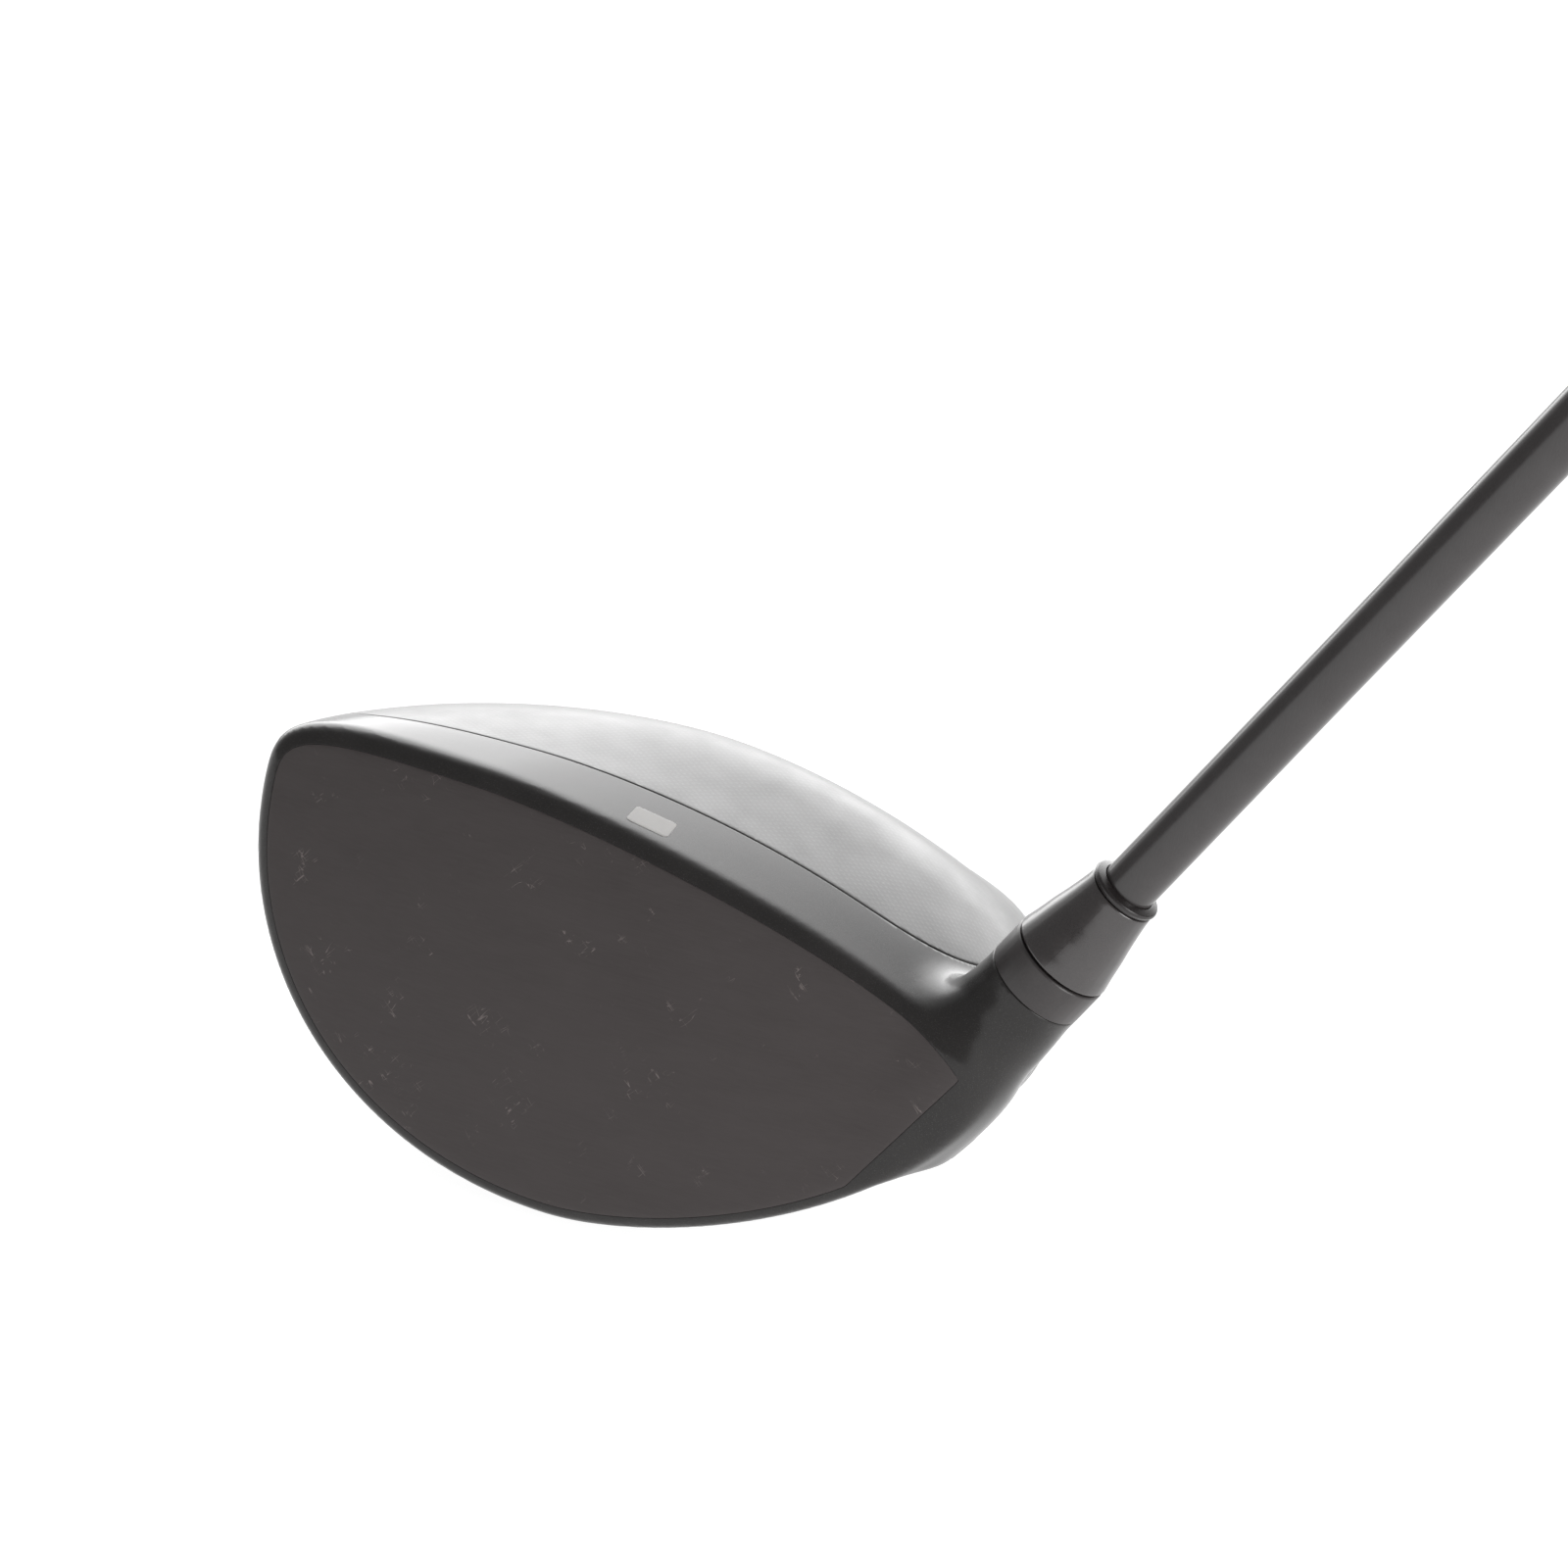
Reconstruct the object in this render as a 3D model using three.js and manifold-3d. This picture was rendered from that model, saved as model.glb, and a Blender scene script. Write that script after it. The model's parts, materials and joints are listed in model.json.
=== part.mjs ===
// A golf driver: a hollow titanium and carbon head on a graphite shaft with an indexed adapter sleeve.
// Millimetres. +Z up, the face looks along -Y, the toe is at -X and the shaft rises towards +X.
// The origin is the middle of the flat pad under the sole, where the club touches the ground at address.

import * as THREE from 'three';
import { mergeVertices } from 'three/addons/utils/BufferGeometryUtils.js';
import Module from 'manifold-3d';

const wasm = await Module();
wasm.setup();

// ---------------------------------------------------------------- driving dimensions
const GAP = 0.3;                    // clearance between neighbouring pieces
const LOFT = Math.tan(10.5 * Math.PI / 180);
const FACE_RADIUS = 300;            // bulge and roll of the face
const FACE_Y = -30.4;               // the face's centre
const FACE_Z = 38;
const FACE_WALL = 3.5;
const EDGE_RADIUS = 2.5;            // rounding between the face and the band around it
const HEAD_DEPTH = 110;             // from the face to the tail
const WALL = 1.4;
const LEDGE_WALL = 1;
const LEDGE_WIDTH = 5;
const SEGMENTS = 40;                // facets around the head
const COARSE_SEGMENTS = 20;         // facets around the ledges inside

// The head's lines plan. Each row of stations is an angle from the face (0) to the tail (90), and each
// rail gives its value there: half widths, heights of the widest lines, apexes and corner exponents.
const STATIONS = [0, 11, 25, 43, 62, 90];
const RAILS = {
  toe: [62, 63.5, 66.5, 69, 68, 64],
  heel: [60, 63, 64, 63.5, 63, 62],
  top: [65, 64.8, 64, 49.9, 37.3, 31],
  bottom: [1.2, -0.6, -1.6, 4.8, 12.6, 25],
  toeLine: [54, 47.5, 42, 39, 35, 30],
  heelLine: [36.5, 34, 30.5, 29, 29, 28],
  topApex: [-26, -17, -5.5, -4.2, 0, 0],
  bottomApex: [-1, 0, 0, 0, 0, 0],
  topToe: [3.3, 2.46, 1.74, 2.1, 2, 2],
  topHeel: [1.55, 1.67, 1.7, 1.8, 2, 2],
  bottomToe: [2.05, 1.95, 1.93, 1.95, 2, 2],
  bottomHeel: [1.62, 1.55, 1.7, 1.9, 2, 2],
};
const WIDTH_CLOSING = 0.75;         // how early the plan outline closes towards the tail
const HEIGHT_CLOSING = 0.35;
const FLATTENING = 60;              // station where the face's curvature has died out

// The shaft line: where the shaft axis meets the ground, and heights measured along the axis from there.
const LIE = 60 * Math.PI / 180;
const AXIS_FOOT = new THREE.Vector3(32.1, -16, 0);
const PORT_MOUTH = 4;
const BOLT_HEAD_LOW = 20.5;
const BOLT_HEAD_HIGH = 25.6;
const WASHER_HIGH = 26.7;
const SEAT_LOW = 27;                // the bulkhead that the bolt pulls against
const SEAT_HIGH = 31;
const CLIP_LOW = 38.4;
const CLIP_HIGH = 39.2;
const SLEEVE_LOW = 40;
const BOLT_TIP = 47;
const SHAFT_TIP = 54.2;
const RIM = 61.3;                   // top of the hosel
const SEAM = 67.4;                  // top of the index ring
const SLEEVE_HIGH = 82;
const FERRULE_HIGH = 83.6;
const SHAFT_PARALLEL = 130;         // the shaft tapers from here to its butt
const GRIP_MOUTH = 880;
const SHAFT_BUTT = 1144;
const CLUB_LENGTH = 1150;

const HOSEL_RADIUS = 8.15;
const TUBE_RADIUS = 7.85;           // the hosel's tube inside the head
const BORE_RADIUS = 6.35;
const PORT_RADIUS = 6;
const SLEEVE_RADIUS = 6;
const BOLT_RADIUS = 2.5;
const TIP_RADIUS = 4.3;
const BUTT_RADIUS = 7.6;
const FERRULE_RADIUS = 5.8;
const SPLINES = 12;                 // one every 30 degrees
const SPLINE_DEPTH = 0.9;
const SPLINE_WIDTH = 1.6;
const LUG_WIDTH = 1.5;
const LUG_DEPTH = 1.2;

// The removable panels.
const CROWN_FRONT = -9;
const CROWN_INSET = 5;
const SPINE_HALF_WIDTH = 12;
const TOE_PANEL_FRONT = -16;
const HEEL_PANEL_FRONT = -2;
const SKIRT_HEIGHT = 33;            // upper edge of the sole panels at the origin
const SKIRT_SLOPE = -0.13;

// The two screw-in weights.
const WEIGHT_RADIUS = 6.7;
const WEIGHT_DEPTH = 3.4;
const WEIGHT_RECESS = 0.3;
const POCKET_DEPTH = 4.5;
const WEIGHT_SHANK = 3;
const SHANK_LENGTH = 9;
const BOSS_RADIUS = 9;
const BOSS_DEPTH = 11;

// ---------------------------------------------------------------- the head's surface
function railAt(name, angle) {
  const values = RAILS[name];
  const slope = (i) => {
    const low = Math.max(i - 1, 0);
    const high = Math.min(i + 1, values.length - 1);
    return (values[high] - values[low]) / (STATIONS[high] - STATIONS[low]);
  };
  let i = 0;
  while (i < STATIONS.length - 2 && angle > STATIONS[i + 1]) i += 1;
  const step = STATIONS[i + 1] - STATIONS[i];
  const s = (angle - STATIONS[i]) / step;
  return (2 * s ** 3 - 3 * s ** 2 + 1) * values[i]
    + (s ** 3 - 2 * s ** 2 + s) * step * slope(i)
    + (3 * s ** 2 - 2 * s ** 3) * values[i + 1]
    + (s ** 3 - s ** 2) * step * slope(i + 1);
}

function faceY(x, z) {
  const rise = z - FACE_Z;
  return FACE_Y + rise * LOFT + (x * x + rise * rise) / (2 * FACE_RADIUS);
}

// A point of the cross-section at a station, around from the heel (0) over the top (90 degrees).
// The outline is four superellipse quadrants, drawn in by inset.
function sectionPoint(angle, around, inset) {
  const closing = Math.cos(angle * Math.PI / 180);
  const width = closing ** WIDTH_CLOSING;
  const height = closing ** HEIGHT_CLOSING;
  const rail = (name) => railAt(name, angle);
  const middle = (rail('top') + rail('bottom')) / 2;
  const squeeze = (z) => middle + (z - middle) * height;
  const across = Math.cos(around);
  const up = Math.sin(around);
  const upper = up >= 0;
  const heelSide = across >= 0;
  const side = squeeze(rail(heelSide ? 'heelLine' : 'toeLine'));
  const edge = upper ? squeeze(rail('top')) - inset : squeeze(rail('bottom')) + inset;
  const reach = heelSide ? rail('heel') * width - inset : inset - rail('toe') * width;
  const apex = rail(upper ? 'topApex' : 'bottomApex') * width;
  const exponent = rail((upper ? 'top' : 'bottom') + (heelSide ? 'Heel' : 'Toe'));
  return {
    x: apex + (reach - apex) * Math.abs(across) ** (2 / exponent),
    z: side + (edge - side) * Math.abs(up) ** (2 / exponent),
  };
}

function skinPoint(angle, around, inset, frontExtra) {
  const { x, z } = sectionPoint(angle, around, inset);
  const blend = Math.min(1, angle / FLATTENING);
  const depth = frontExtra + (HEAD_DEPTH - frontExtra - inset) * Math.sin(angle * Math.PI / 180);
  return new THREE.Vector3(x, EDGE_RADIUS + depth + (1 - blend) * faceY(x, z) + blend * FACE_Y, z);
}

// A point on the face itself: its outline drawn in towards the middle by scale, or rounded at its edge.
function facePoint(scale, around, inset, back) {
  const outline = sectionPoint(0, around, inset);
  const x = outline.x * scale;
  const z = FACE_Z + (outline.z - FACE_Z) * scale;
  return new THREE.Vector3(x, faceY(x, z) + back, z);
}

// The whole closed hull, as a sphere whose rows become the rings from the face's middle to the tail.
function hull(inset = 0, frontExtra = 0, segments = SEGMENTS) {
  const rings = [];
  const faceRing = (scale, draw, back) => rings.push((a) => facePoint(scale, a, draw, back));
  const firstDraw = inset === 0 ? EDGE_RADIUS : inset;
  const firstBack = inset === 0 ? 0 : EDGE_RADIUS + frontExtra;
  for (const scale of [0, 0.5]) faceRing(scale, firstDraw, firstBack);
  if (inset === 0) {
    for (const turn of [0, 40]) {
      const t = turn * Math.PI / 180;
      faceRing(1, EDGE_RADIUS * (1 - Math.sin(t)), EDGE_RADIUS * (1 - Math.cos(t)));
    }
  }
  const lastAngle = inset === 0 ? 86 : 79;
  for (const angle of [0, 8, 17, 27, 38, 50, 62, 72, lastAngle]) {
    rings.push((a) => skinPoint(angle, a, inset, frontExtra));
  }
  const tail = skinPoint(90, 0, 0, 0);
  const end = inset === 0 ? tail.y : skinPoint(lastAngle, 0, inset, frontExtra).y;
  rings.push(() => new THREE.Vector3(0, end, tail.z));
  const geometry = new THREE.SphereGeometry(1, segments, rings.length - 1);
  const position = geometry.attributes.position;
  rings.forEach((ring, row) => {
    for (let column = 0; column <= segments; column += 1) {
      const around = Math.PI + 2 * Math.PI * (column % segments) / segments;
      position.setXYZ(row * (segments + 1) + column, ...ring(around).toArray());
    }
  });
  return solid(geometry);
}

// ---------------------------------------------------------------- solids
function solid(geometry) {
  const bare = geometry.clone();
  for (const name of Object.keys(bare.attributes)) {
    if (name !== 'position') bare.deleteAttribute(name);
  }
  const merged = mergeVertices(bare, 1e-5);
  const corners = [];
  const index = merged.index.array;
  for (let i = 0; i < index.length; i += 3) {
    const [a, b, c] = [index[i], index[i + 1], index[i + 2]];
    if (a !== b && b !== c && c !== a) corners.push(a, b, c);
  }
  return new wasm.Manifold(new wasm.Mesh({
    numProp: 3,
    vertProperties: new Float32Array(merged.attributes.position.array),
    triVerts: new Uint32Array(corners),
  }));
}

function geometryOf(body) {
  const mesh = body.getMesh();
  const geometry = new THREE.BufferGeometry();
  geometry.setAttribute('position', new THREE.BufferAttribute(mesh.vertProperties, mesh.numProp));
  geometry.setIndex(new THREE.BufferAttribute(mesh.triVerts, 1));
  return geometry;
}

// A turned solid on the Y axis. Each pair is [radius, height]; the profile closes on itself.
function turned(profile, segments = 32) {
  const points = profile.map(([radius, height]) => new THREE.Vector2(radius, height));
  const onAxis = profile[0][0] === 0;
  if (!onAxis) points.push(points[0].clone());
  return new THREE.LatheGeometry(points, segments);
}

function tube(inner, outer, low, high, segments = 32) {
  return turned([[inner, low], [outer, low], [outer, high], [inner, high]], segments);
}

function rod(radius, low, high, segments = 32) {
  return turned([[0, low], [radius, low], [radius, high], [0, high]], segments);
}

function box(low, high) {
  const size = new THREE.Vector3(...high).sub(new THREE.Vector3(...low));
  const geometry = new THREE.BoxGeometry(size.x, size.y, size.z);
  const middle = new THREE.Vector3(...low).addScaledVector(size, 0.5);
  return geometry.translate(middle.x, middle.y, middle.z);
}

// Blocks spaced evenly around the Y axis, between two radii and two heights.
function blocks(inner, outer, width, low, high) {
  const list = [];
  for (let i = 0; i < SPLINES; i += 1) {
    const block = box([inner, low, -width / 2], [outer, high, width / 2]);
    list.push(solid(block.rotateY(i * 2 * Math.PI / SPLINES)));
  }
  return list.reduce((sum, one) => sum.add(one));
}

// A prism through the whole head, standing on an outline in the ground plane.
function plumbPrism(points, low, high) {
  const shape = new THREE.Shape(points);
  const geometry = new THREE.ExtrudeGeometry(shape, { depth: high - low, bevelEnabled: false });
  return solid(geometry.translate(0, 0, low));
}

// ---------------------------------------------------------------- placing
const UP = new THREE.Vector3(0, 1, 0);
const SHAFT_DIRECTION = new THREE.Vector3(Math.cos(LIE), 0, Math.sin(LIE));

function placing(foot, direction) {
  const turn = new THREE.Quaternion().setFromUnitVectors(UP, direction);
  return new THREE.Matrix4().compose(foot, turn, new THREE.Vector3(1, 1, 1));
}

const SHAFT_PLACING = placing(AXIS_FOOT, SHAFT_DIRECTION);

function onShaftLine(geometry) {
  return solid(geometry.clone().applyMatrix4(SHAFT_PLACING));
}

const golfDriver = new THREE.Group();
const shaftLine = new THREE.Group();
shaftLine.position.copy(AXIS_FOOT);
shaftLine.quaternion.setFromUnitVectors(UP, SHAFT_DIRECTION);
golfDriver.add(shaftLine);

function addMesh(parent, name, shape, color, roughness, metalness) {
  const geometry = shape.isBufferGeometry ? shape : geometryOf(shape);
  const material = new THREE.MeshStandardMaterial({ color, roughness, metalness });
  const mesh = new THREE.Mesh(geometry, material);
  mesh.name = name;
  parent.add(mesh);
}

// ---------------------------------------------------------------- regions of the head
const outer = hull();
const cavity = hull(WALL, FACE_WALL - EDGE_RADIUS);
const ledgeOutside = hull(WALL + GAP, FACE_WALL - EDGE_RADIUS + GAP, COARSE_SEGMENTS);
const ledgeInside = hull(WALL + GAP + LEDGE_WALL, FACE_WALL - EDGE_RADIUS + 1.3, COARSE_SEGMENTS);
const shell = outer.subtract(cavity);

// The face insert's outline: the face's edge drawn in, and cut straight across near the heel.
function faceInsertPrism(inset) {
  const points = [];
  for (let i = 0; i < SEGMENTS; i += 1) {
    const { x, z } = sectionPoint(0, i * 2 * Math.PI / SEGMENTS, EDGE_RADIUS + inset);
    const heelCut = 45 + (z - 22) * 0.66 - inset;
    points.push(new THREE.Vector2(Math.min(x, heelCut), z));
  }
  const depth = 40;
  const prism = new THREE.ExtrudeGeometry(new THREE.Shape(points), { depth, bevelEnabled: false });
  return solid(prism.rotateX(Math.PI / 2).translate(0, FACE_Y + depth / 2, 0));
}

// The crown panel seen from above: straight behind the face, round past the hosel, then parallel to
// the head's plan outline.
function crownPrism(inset) {
  const points = [];
  const front = CROWN_FRONT + inset - CROWN_INSET;
  const side = (angle, sign) => {
    const width = railAt(sign > 0 ? 'heel' : 'toe', angle) * Math.cos(angle * Math.PI / 180) ** WIDTH_CLOSING;
    const depth = EDGE_RADIUS + FACE_Y + HEAD_DEPTH * Math.sin(angle * Math.PI / 180);
    const slant = Math.max(0, angle - 45) / 45;
    return new THREE.Vector2(sign * (width - inset * (1 - 0.3 * slant)), depth - inset * slant);
  };
  for (const angle of [74, 66, 57, 48, 38, 28, 20]) points.push(side(angle, -1));
  points.push(new THREE.Vector2(-58 + inset * 0.5, front + 3.5));
  points.push(new THREE.Vector2(-53, front));
  points.push(new THREE.Vector2(38, front));
  points.push(new THREE.Vector2(45, front + 2));
  points.push(new THREE.Vector2(50, front + 6));
  for (const angle of [22, 30, 38, 48, 57, 66, 74]) points.push(side(angle, 1));
  points.push(new THREE.Vector2(10, EDGE_RADIUS + FACE_Y + HEAD_DEPTH - inset));
  points.push(new THREE.Vector2(-10, EDGE_RADIUS + FACE_Y + HEAD_DEPTH - inset));
  const floor = 29;
  return plumbPrism(points, floor, 90);
}

// Everything under the skirt line, which falls towards the tail, on one side of the sole's spine.
function solePrism(side, front, inset) {
  const reach = 90;
  const inner = side * (SPINE_HALF_WIDTH + inset);
  const low = [Math.min(inner, side * reach), front + inset, -20];
  const high = [Math.max(inner, side * reach), reach, SKIRT_HEIGHT - inset + 60];
  const slab = box([-reach, -reach, -60], [reach, reach, 0]);
  slab.rotateX(Math.atan(SKIRT_SLOPE)).translate(0, 0, SKIRT_HEIGHT - inset);
  return solid(box(low, high)).intersect(solid(slab));
}

// ---------------------------------------------------------------- weights
// A weight sits square to the skin: the skin's point and outward direction at a station.
function weightSeat(angle, around) {
  const here = skinPoint(angle, around, 0, 0);
  const along = skinPoint(angle + 1, around, 0, 0).sub(skinPoint(angle - 1, around, 0, 0));
  const across = skinPoint(angle, around + 0.1, 0, 0).sub(skinPoint(angle, around - 0.1, 0, 0));
  return { foot: here, inward: across.cross(along).normalize() };
}

const DOWN = 1.5 * Math.PI;
const rearSeat = weightSeat(64, DOWN);
const frontSeat = weightSeat(5, DOWN);

function starRecess(radius, low, high) {
  const points = [];
  for (let i = 0; i < 12; i += 1) {
    const r = i % 2 ? radius : radius * 0.76;
    const a = i * Math.PI / 6;
    points.push(new THREE.Vector2(r * Math.cos(a), r * Math.sin(a)));
  }
  const depth = high - low;
  const star = new THREE.ExtrudeGeometry(new THREE.Shape(points), { depth, bevelEnabled: false });
  return solid(star.rotateX(-Math.PI / 2).translate(0, low, 0));
}

function weightBoss(seat) {
  return solid(rod(BOSS_RADIUS, -2, BOSS_DEPTH).applyMatrix4(placing(seat.foot, seat.inward)));
}

function weightPocket(seat) {
  const hole = WEIGHT_SHANK + GAP;
  const profile = [[0, -4], [WEIGHT_RADIUS + GAP, -4], [WEIGHT_RADIUS + GAP, POCKET_DEPTH],
    [hole, POCKET_DEPTH], [hole, BOSS_DEPTH - 1], [0, BOSS_DEPTH - 1]];
  return solid(turned(profile).applyMatrix4(placing(seat.foot, seat.inward)));
}

function addWeight(name, seat) {
  const group = new THREE.Group();
  group.position.copy(seat.foot);
  group.quaternion.setFromUnitVectors(UP, seat.inward);
  golfDriver.add(group);
  const back = WEIGHT_RECESS + WEIGHT_DEPTH;
  const profile = [[0, WEIGHT_RECESS], [WEIGHT_RADIUS - 0.5, WEIGHT_RECESS],
    [WEIGHT_RADIUS, WEIGHT_RECESS + 0.5], [WEIGHT_RADIUS, back],
    [WEIGHT_SHANK, back], [WEIGHT_SHANK, SHANK_LENGTH], [0, SHANK_LENGTH]];
  const weight = solid(turned(profile)).subtract(starRecess(2.6, -1, WEIGHT_RECESS + 2.4));
  addMesh(group, name, weight, 0x8c8c8e, 0.35, 0.9);
  const gasket = tube(WEIGHT_SHANK + GAP, WEIGHT_RADIUS - GAP, back + 0.15, POCKET_DEPTH - 0.15);
  addMesh(group, `${name}_gasket`, gasket, 0x1c1c1c, 0.8, 0);
}

// ---------------------------------------------------------------- the head's pieces
// Cuts can leave specks behind, so only the largest closed body is the piece.
function mainBody(body) {
  return body.decompose().reduce((best, one) => (one.volume() > best.volume() ? one : best));
}

function hoselSolid(low) {
  const profile = [[0, low], [TUBE_RADIUS, low], [TUBE_RADIUS, 46], [8.6, 52], [8.4, 56],
    [HOSEL_RADIUS, 59], [HOSEL_RADIUS, RIM], [0, RIM]];
  return onShaftLine(turned(profile));
}

// The opening for a panel, and the ledge standing in the cavity around it.
function panelSeat(prismAt) {
  const band = prismAt(-1.2).subtract(prismAt(LEDGE_WIDTH));
  return { hole: prismAt(0).subtract(ledgeOutside), ledge: band.subtract(ledgeInside) };
}

function makeBodyFrame() {
  const seats = [
    panelSeat((inset) => crownPrism(CROWN_INSET + inset)),
    panelSeat((inset) => solePrism(-1, TOE_PANEL_FRONT, inset)),
    panelSeat((inset) => solePrism(1, HEEL_PANEL_FRONT, inset)),
  ];
  const tubeInside = hoselSolid(PORT_MOUTH);
  let hollow = cavity.subtract(tubeInside).subtract(weightBoss(rearSeat)).subtract(weightBoss(frontSeat));
  for (const seat of seats) hollow = hollow.subtract(seat.ledge);
  let body = outer.add(hoselSolid(40)).subtract(hollow);
  for (const seat of seats) body = body.subtract(seat.hole);
  body = body.subtract(faceInsertPrism(GAP).subtract(behindFace(FACE_WALL + GAP)).subtract(tubeInside));
  body = body.subtract(onShaftLine(rod(BORE_RADIUS, SEAT_HIGH, RIM + 2)));
  body = body.subtract(onShaftLine(rod(BOLT_RADIUS + 0.35, SEAT_LOW - 1, SEAT_HIGH + 1, 24)));
  body = body.subtract(onShaftLine(rod(PORT_RADIUS, -10, SEAT_LOW)));
  const notches = blocks(BORE_RADIUS - 0.5, 7.6 + GAP, LUG_WIDTH + 2 * GAP, RIM - LUG_DEPTH - GAP, RIM + 1);
  body = body.subtract(onShaftLine(geometryOf(notches)));
  body = body.subtract(weightPocket(rearSeat)).subtract(weightPocket(frontSeat));
  body = body.subtract(solid(box([-90, -60, -10], [90, 90, 0])));
  return mainBody(body);
}

// The head's outside moved back, to cut the front wall to a thickness.
function behindFace(thickness) {
  return solid(geometryOf(outer).translate(0, thickness, 0));
}

function makeFacePlate() {
  const tubeRelief = onShaftLine(rod(TUBE_RADIUS + GAP, 0, 60, 40));
  return mainBody(outer.intersect(faceInsertPrism(0.6)).subtract(behindFace(FACE_WALL - GAP)).subtract(tubeRelief));
}

function makeCrownPanel() {
  return mainBody(shell.intersect(crownPrism(CROWN_INSET + GAP)));
}

function makeSolePanel(side, front) {
  const relief = weightBoss(rearSeat).add(onShaftLine(rod(TUBE_RADIUS + GAP, 0, 55)));
  const aboveGround = solid(box([-90, -60, 0], [90, 90, 60]));
  return mainBody(shell.intersect(solePrism(side, front, GAP)).intersect(aboveGround).subtract(relief));
}

// A blob of tacky damping compound, poured inside on the sole behind the face.
function makeDampingPad() {
  const aboveLedge = hull(WALL + LEDGE_WALL + 2 * GAP, FACE_WALL, COARSE_SEGMENTS);
  const blob = new THREE.SphereGeometry(12, 20, 10).scale(1, 1, 0.45).translate(-32, 0, 9);
  return mainBody(aboveLedge.intersect(solid(blob)));
}

addMesh(golfDriver, 'body_frame', makeBodyFrame(), 0x4b4a49, 0.25, 0.6);
addMesh(golfDriver, 'face_plate', makeFacePlate(), 0x494343, 0.6, 0.5);
addMesh(golfDriver, 'crown_panel', makeCrownPanel(), 0x4a4947, 0.3, 0);
addMesh(golfDriver, 'sole_panel_toe', makeSolePanel(-1, TOE_PANEL_FRONT), 0x2c2b2b, 0.3, 0);
addMesh(golfDriver, 'sole_panel_heel', makeSolePanel(1, HEEL_PANEL_FRONT), 0x2c2b2b, 0.3, 0);
addMesh(golfDriver, 'damping_pad', makeDampingPad(), 0xb8a878, 0.7, 0);
addWeight('rear_weight', rearSeat);
addWeight('front_weight', frontSeat);

// ---------------------------------------------------------------- the adapter
function makeSleeveBolt() {
  const bolt = solid(turned([[0, BOLT_HEAD_LOW], [4.1, BOLT_HEAD_LOW], [4.6, BOLT_HEAD_LOW + 0.5],
    [4.6, BOLT_HEAD_HIGH], [BOLT_RADIUS, BOLT_HEAD_HIGH], [BOLT_RADIUS, BOLT_TIP - 0.6],
    [BOLT_RADIUS - 0.6, BOLT_TIP], [0, BOLT_TIP]]));
  return bolt.subtract(starRecess(2.8, BOLT_HEAD_LOW - 1, BOLT_HEAD_LOW + 3.2));
}

function makeIndexRing() {
  const ring = solid(tube(SLEEVE_RADIUS + GAP, HOSEL_RADIUS, RIM + GAP, SEAM, 40));
  const lugs = blocks(6.7, 7.6, LUG_WIDTH, RIM - LUG_DEPTH, RIM + 1);
  const groove = SLEEVE_RADIUS + SPLINE_DEPTH + GAP;
  const width = SPLINE_WIDTH + 2 * GAP;
  return ring.add(lugs).subtract(blocks(5, groove, width, RIM + 1.2, SEAM + 1));
}

function makeAdapterSleeve() {
  const profile = [[0, SLEEVE_LOW], [SLEEVE_RADIUS - 0.5, SLEEVE_LOW], [SLEEVE_RADIUS, SLEEVE_LOW + 0.5],
    [SLEEVE_RADIUS, SEAM + GAP], [HOSEL_RADIUS - 0.15, SEAM + GAP], [HOSEL_RADIUS, SEAM + GAP + 0.4],
    [7.1, 73.5], [6.1, 78.5], [5.55, SLEEVE_HIGH], [0, SLEEVE_HIGH]];
  const ribs = blocks(5, SLEEVE_RADIUS + SPLINE_DEPTH, SPLINE_WIDTH, RIM + 1.6, SEAM + GAP + 0.5);
  const pocket = solid(rod(TIP_RADIUS + GAP, SHAFT_TIP - GAP, SLEEVE_HIGH + 1));
  const thread = solid(rod(BOLT_RADIUS + GAP, SLEEVE_LOW - 1, BOLT_TIP + 3));
  return solid(turned(profile, 40)).add(ribs).subtract(pocket).subtract(thread);
}

function ferruleProfile() {
  const inner = TIP_RADIUS + GAP;
  const low = SLEEVE_HIGH + GAP;
  return [[inner, low], [5.6, low], [FERRULE_RADIUS, low + 0.5], [FERRULE_RADIUS, FERRULE_HIGH],
    [5.3, FERRULE_HIGH], [inner, FERRULE_HIGH - 0.5]];
}

addMesh(shaftLine, 'sleeve_bolt', makeSleeveBolt(), 0x2b2b2c, 0.35, 0.9);
addMesh(shaftLine, 'bolt_washer', tube(BOLT_RADIUS + GAP, 5.6, BOLT_HEAD_HIGH + GAP, WASHER_HIGH), 0x9a9a9c, 0.4, 0.9);
addMesh(shaftLine, 'bolt_clip', tube(BOLT_RADIUS + GAP, 4.6, CLIP_LOW, CLIP_HIGH), 0x6c6c6e, 0.4, 0.9);
addMesh(shaftLine, 'index_ring', makeIndexRing(), 0x504b4b, 0.4, 0.5);
addMesh(shaftLine, 'adapter_sleeve', makeAdapterSleeve(), 0x454040, 0.4, 0.5);
addMesh(shaftLine, 'ferrule', turned(ferruleProfile(), 40), 0x1d1a1a, 0.35, 0);

// ---------------------------------------------------------------- the shaft and grip
function shaftRadius(height) {
  const taper = Math.max(0, height - SHAFT_PARALLEL) / (SHAFT_BUTT - SHAFT_PARALLEL);
  return TIP_RADIUS + (BUTT_RADIUS - TIP_RADIUS) * taper;
}

function makeShaft() {
  const tipBore = 2.3;
  const buttBore = BUTT_RADIUS - 1;
  return turned([[tipBore, SHAFT_TIP], [TIP_RADIUS, SHAFT_TIP], [TIP_RADIUS, SHAFT_PARALLEL],
    [BUTT_RADIUS, SHAFT_BUTT], [buttBore, SHAFT_BUTT], [tipBore, SHAFT_PARALLEL]]);
}

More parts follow.
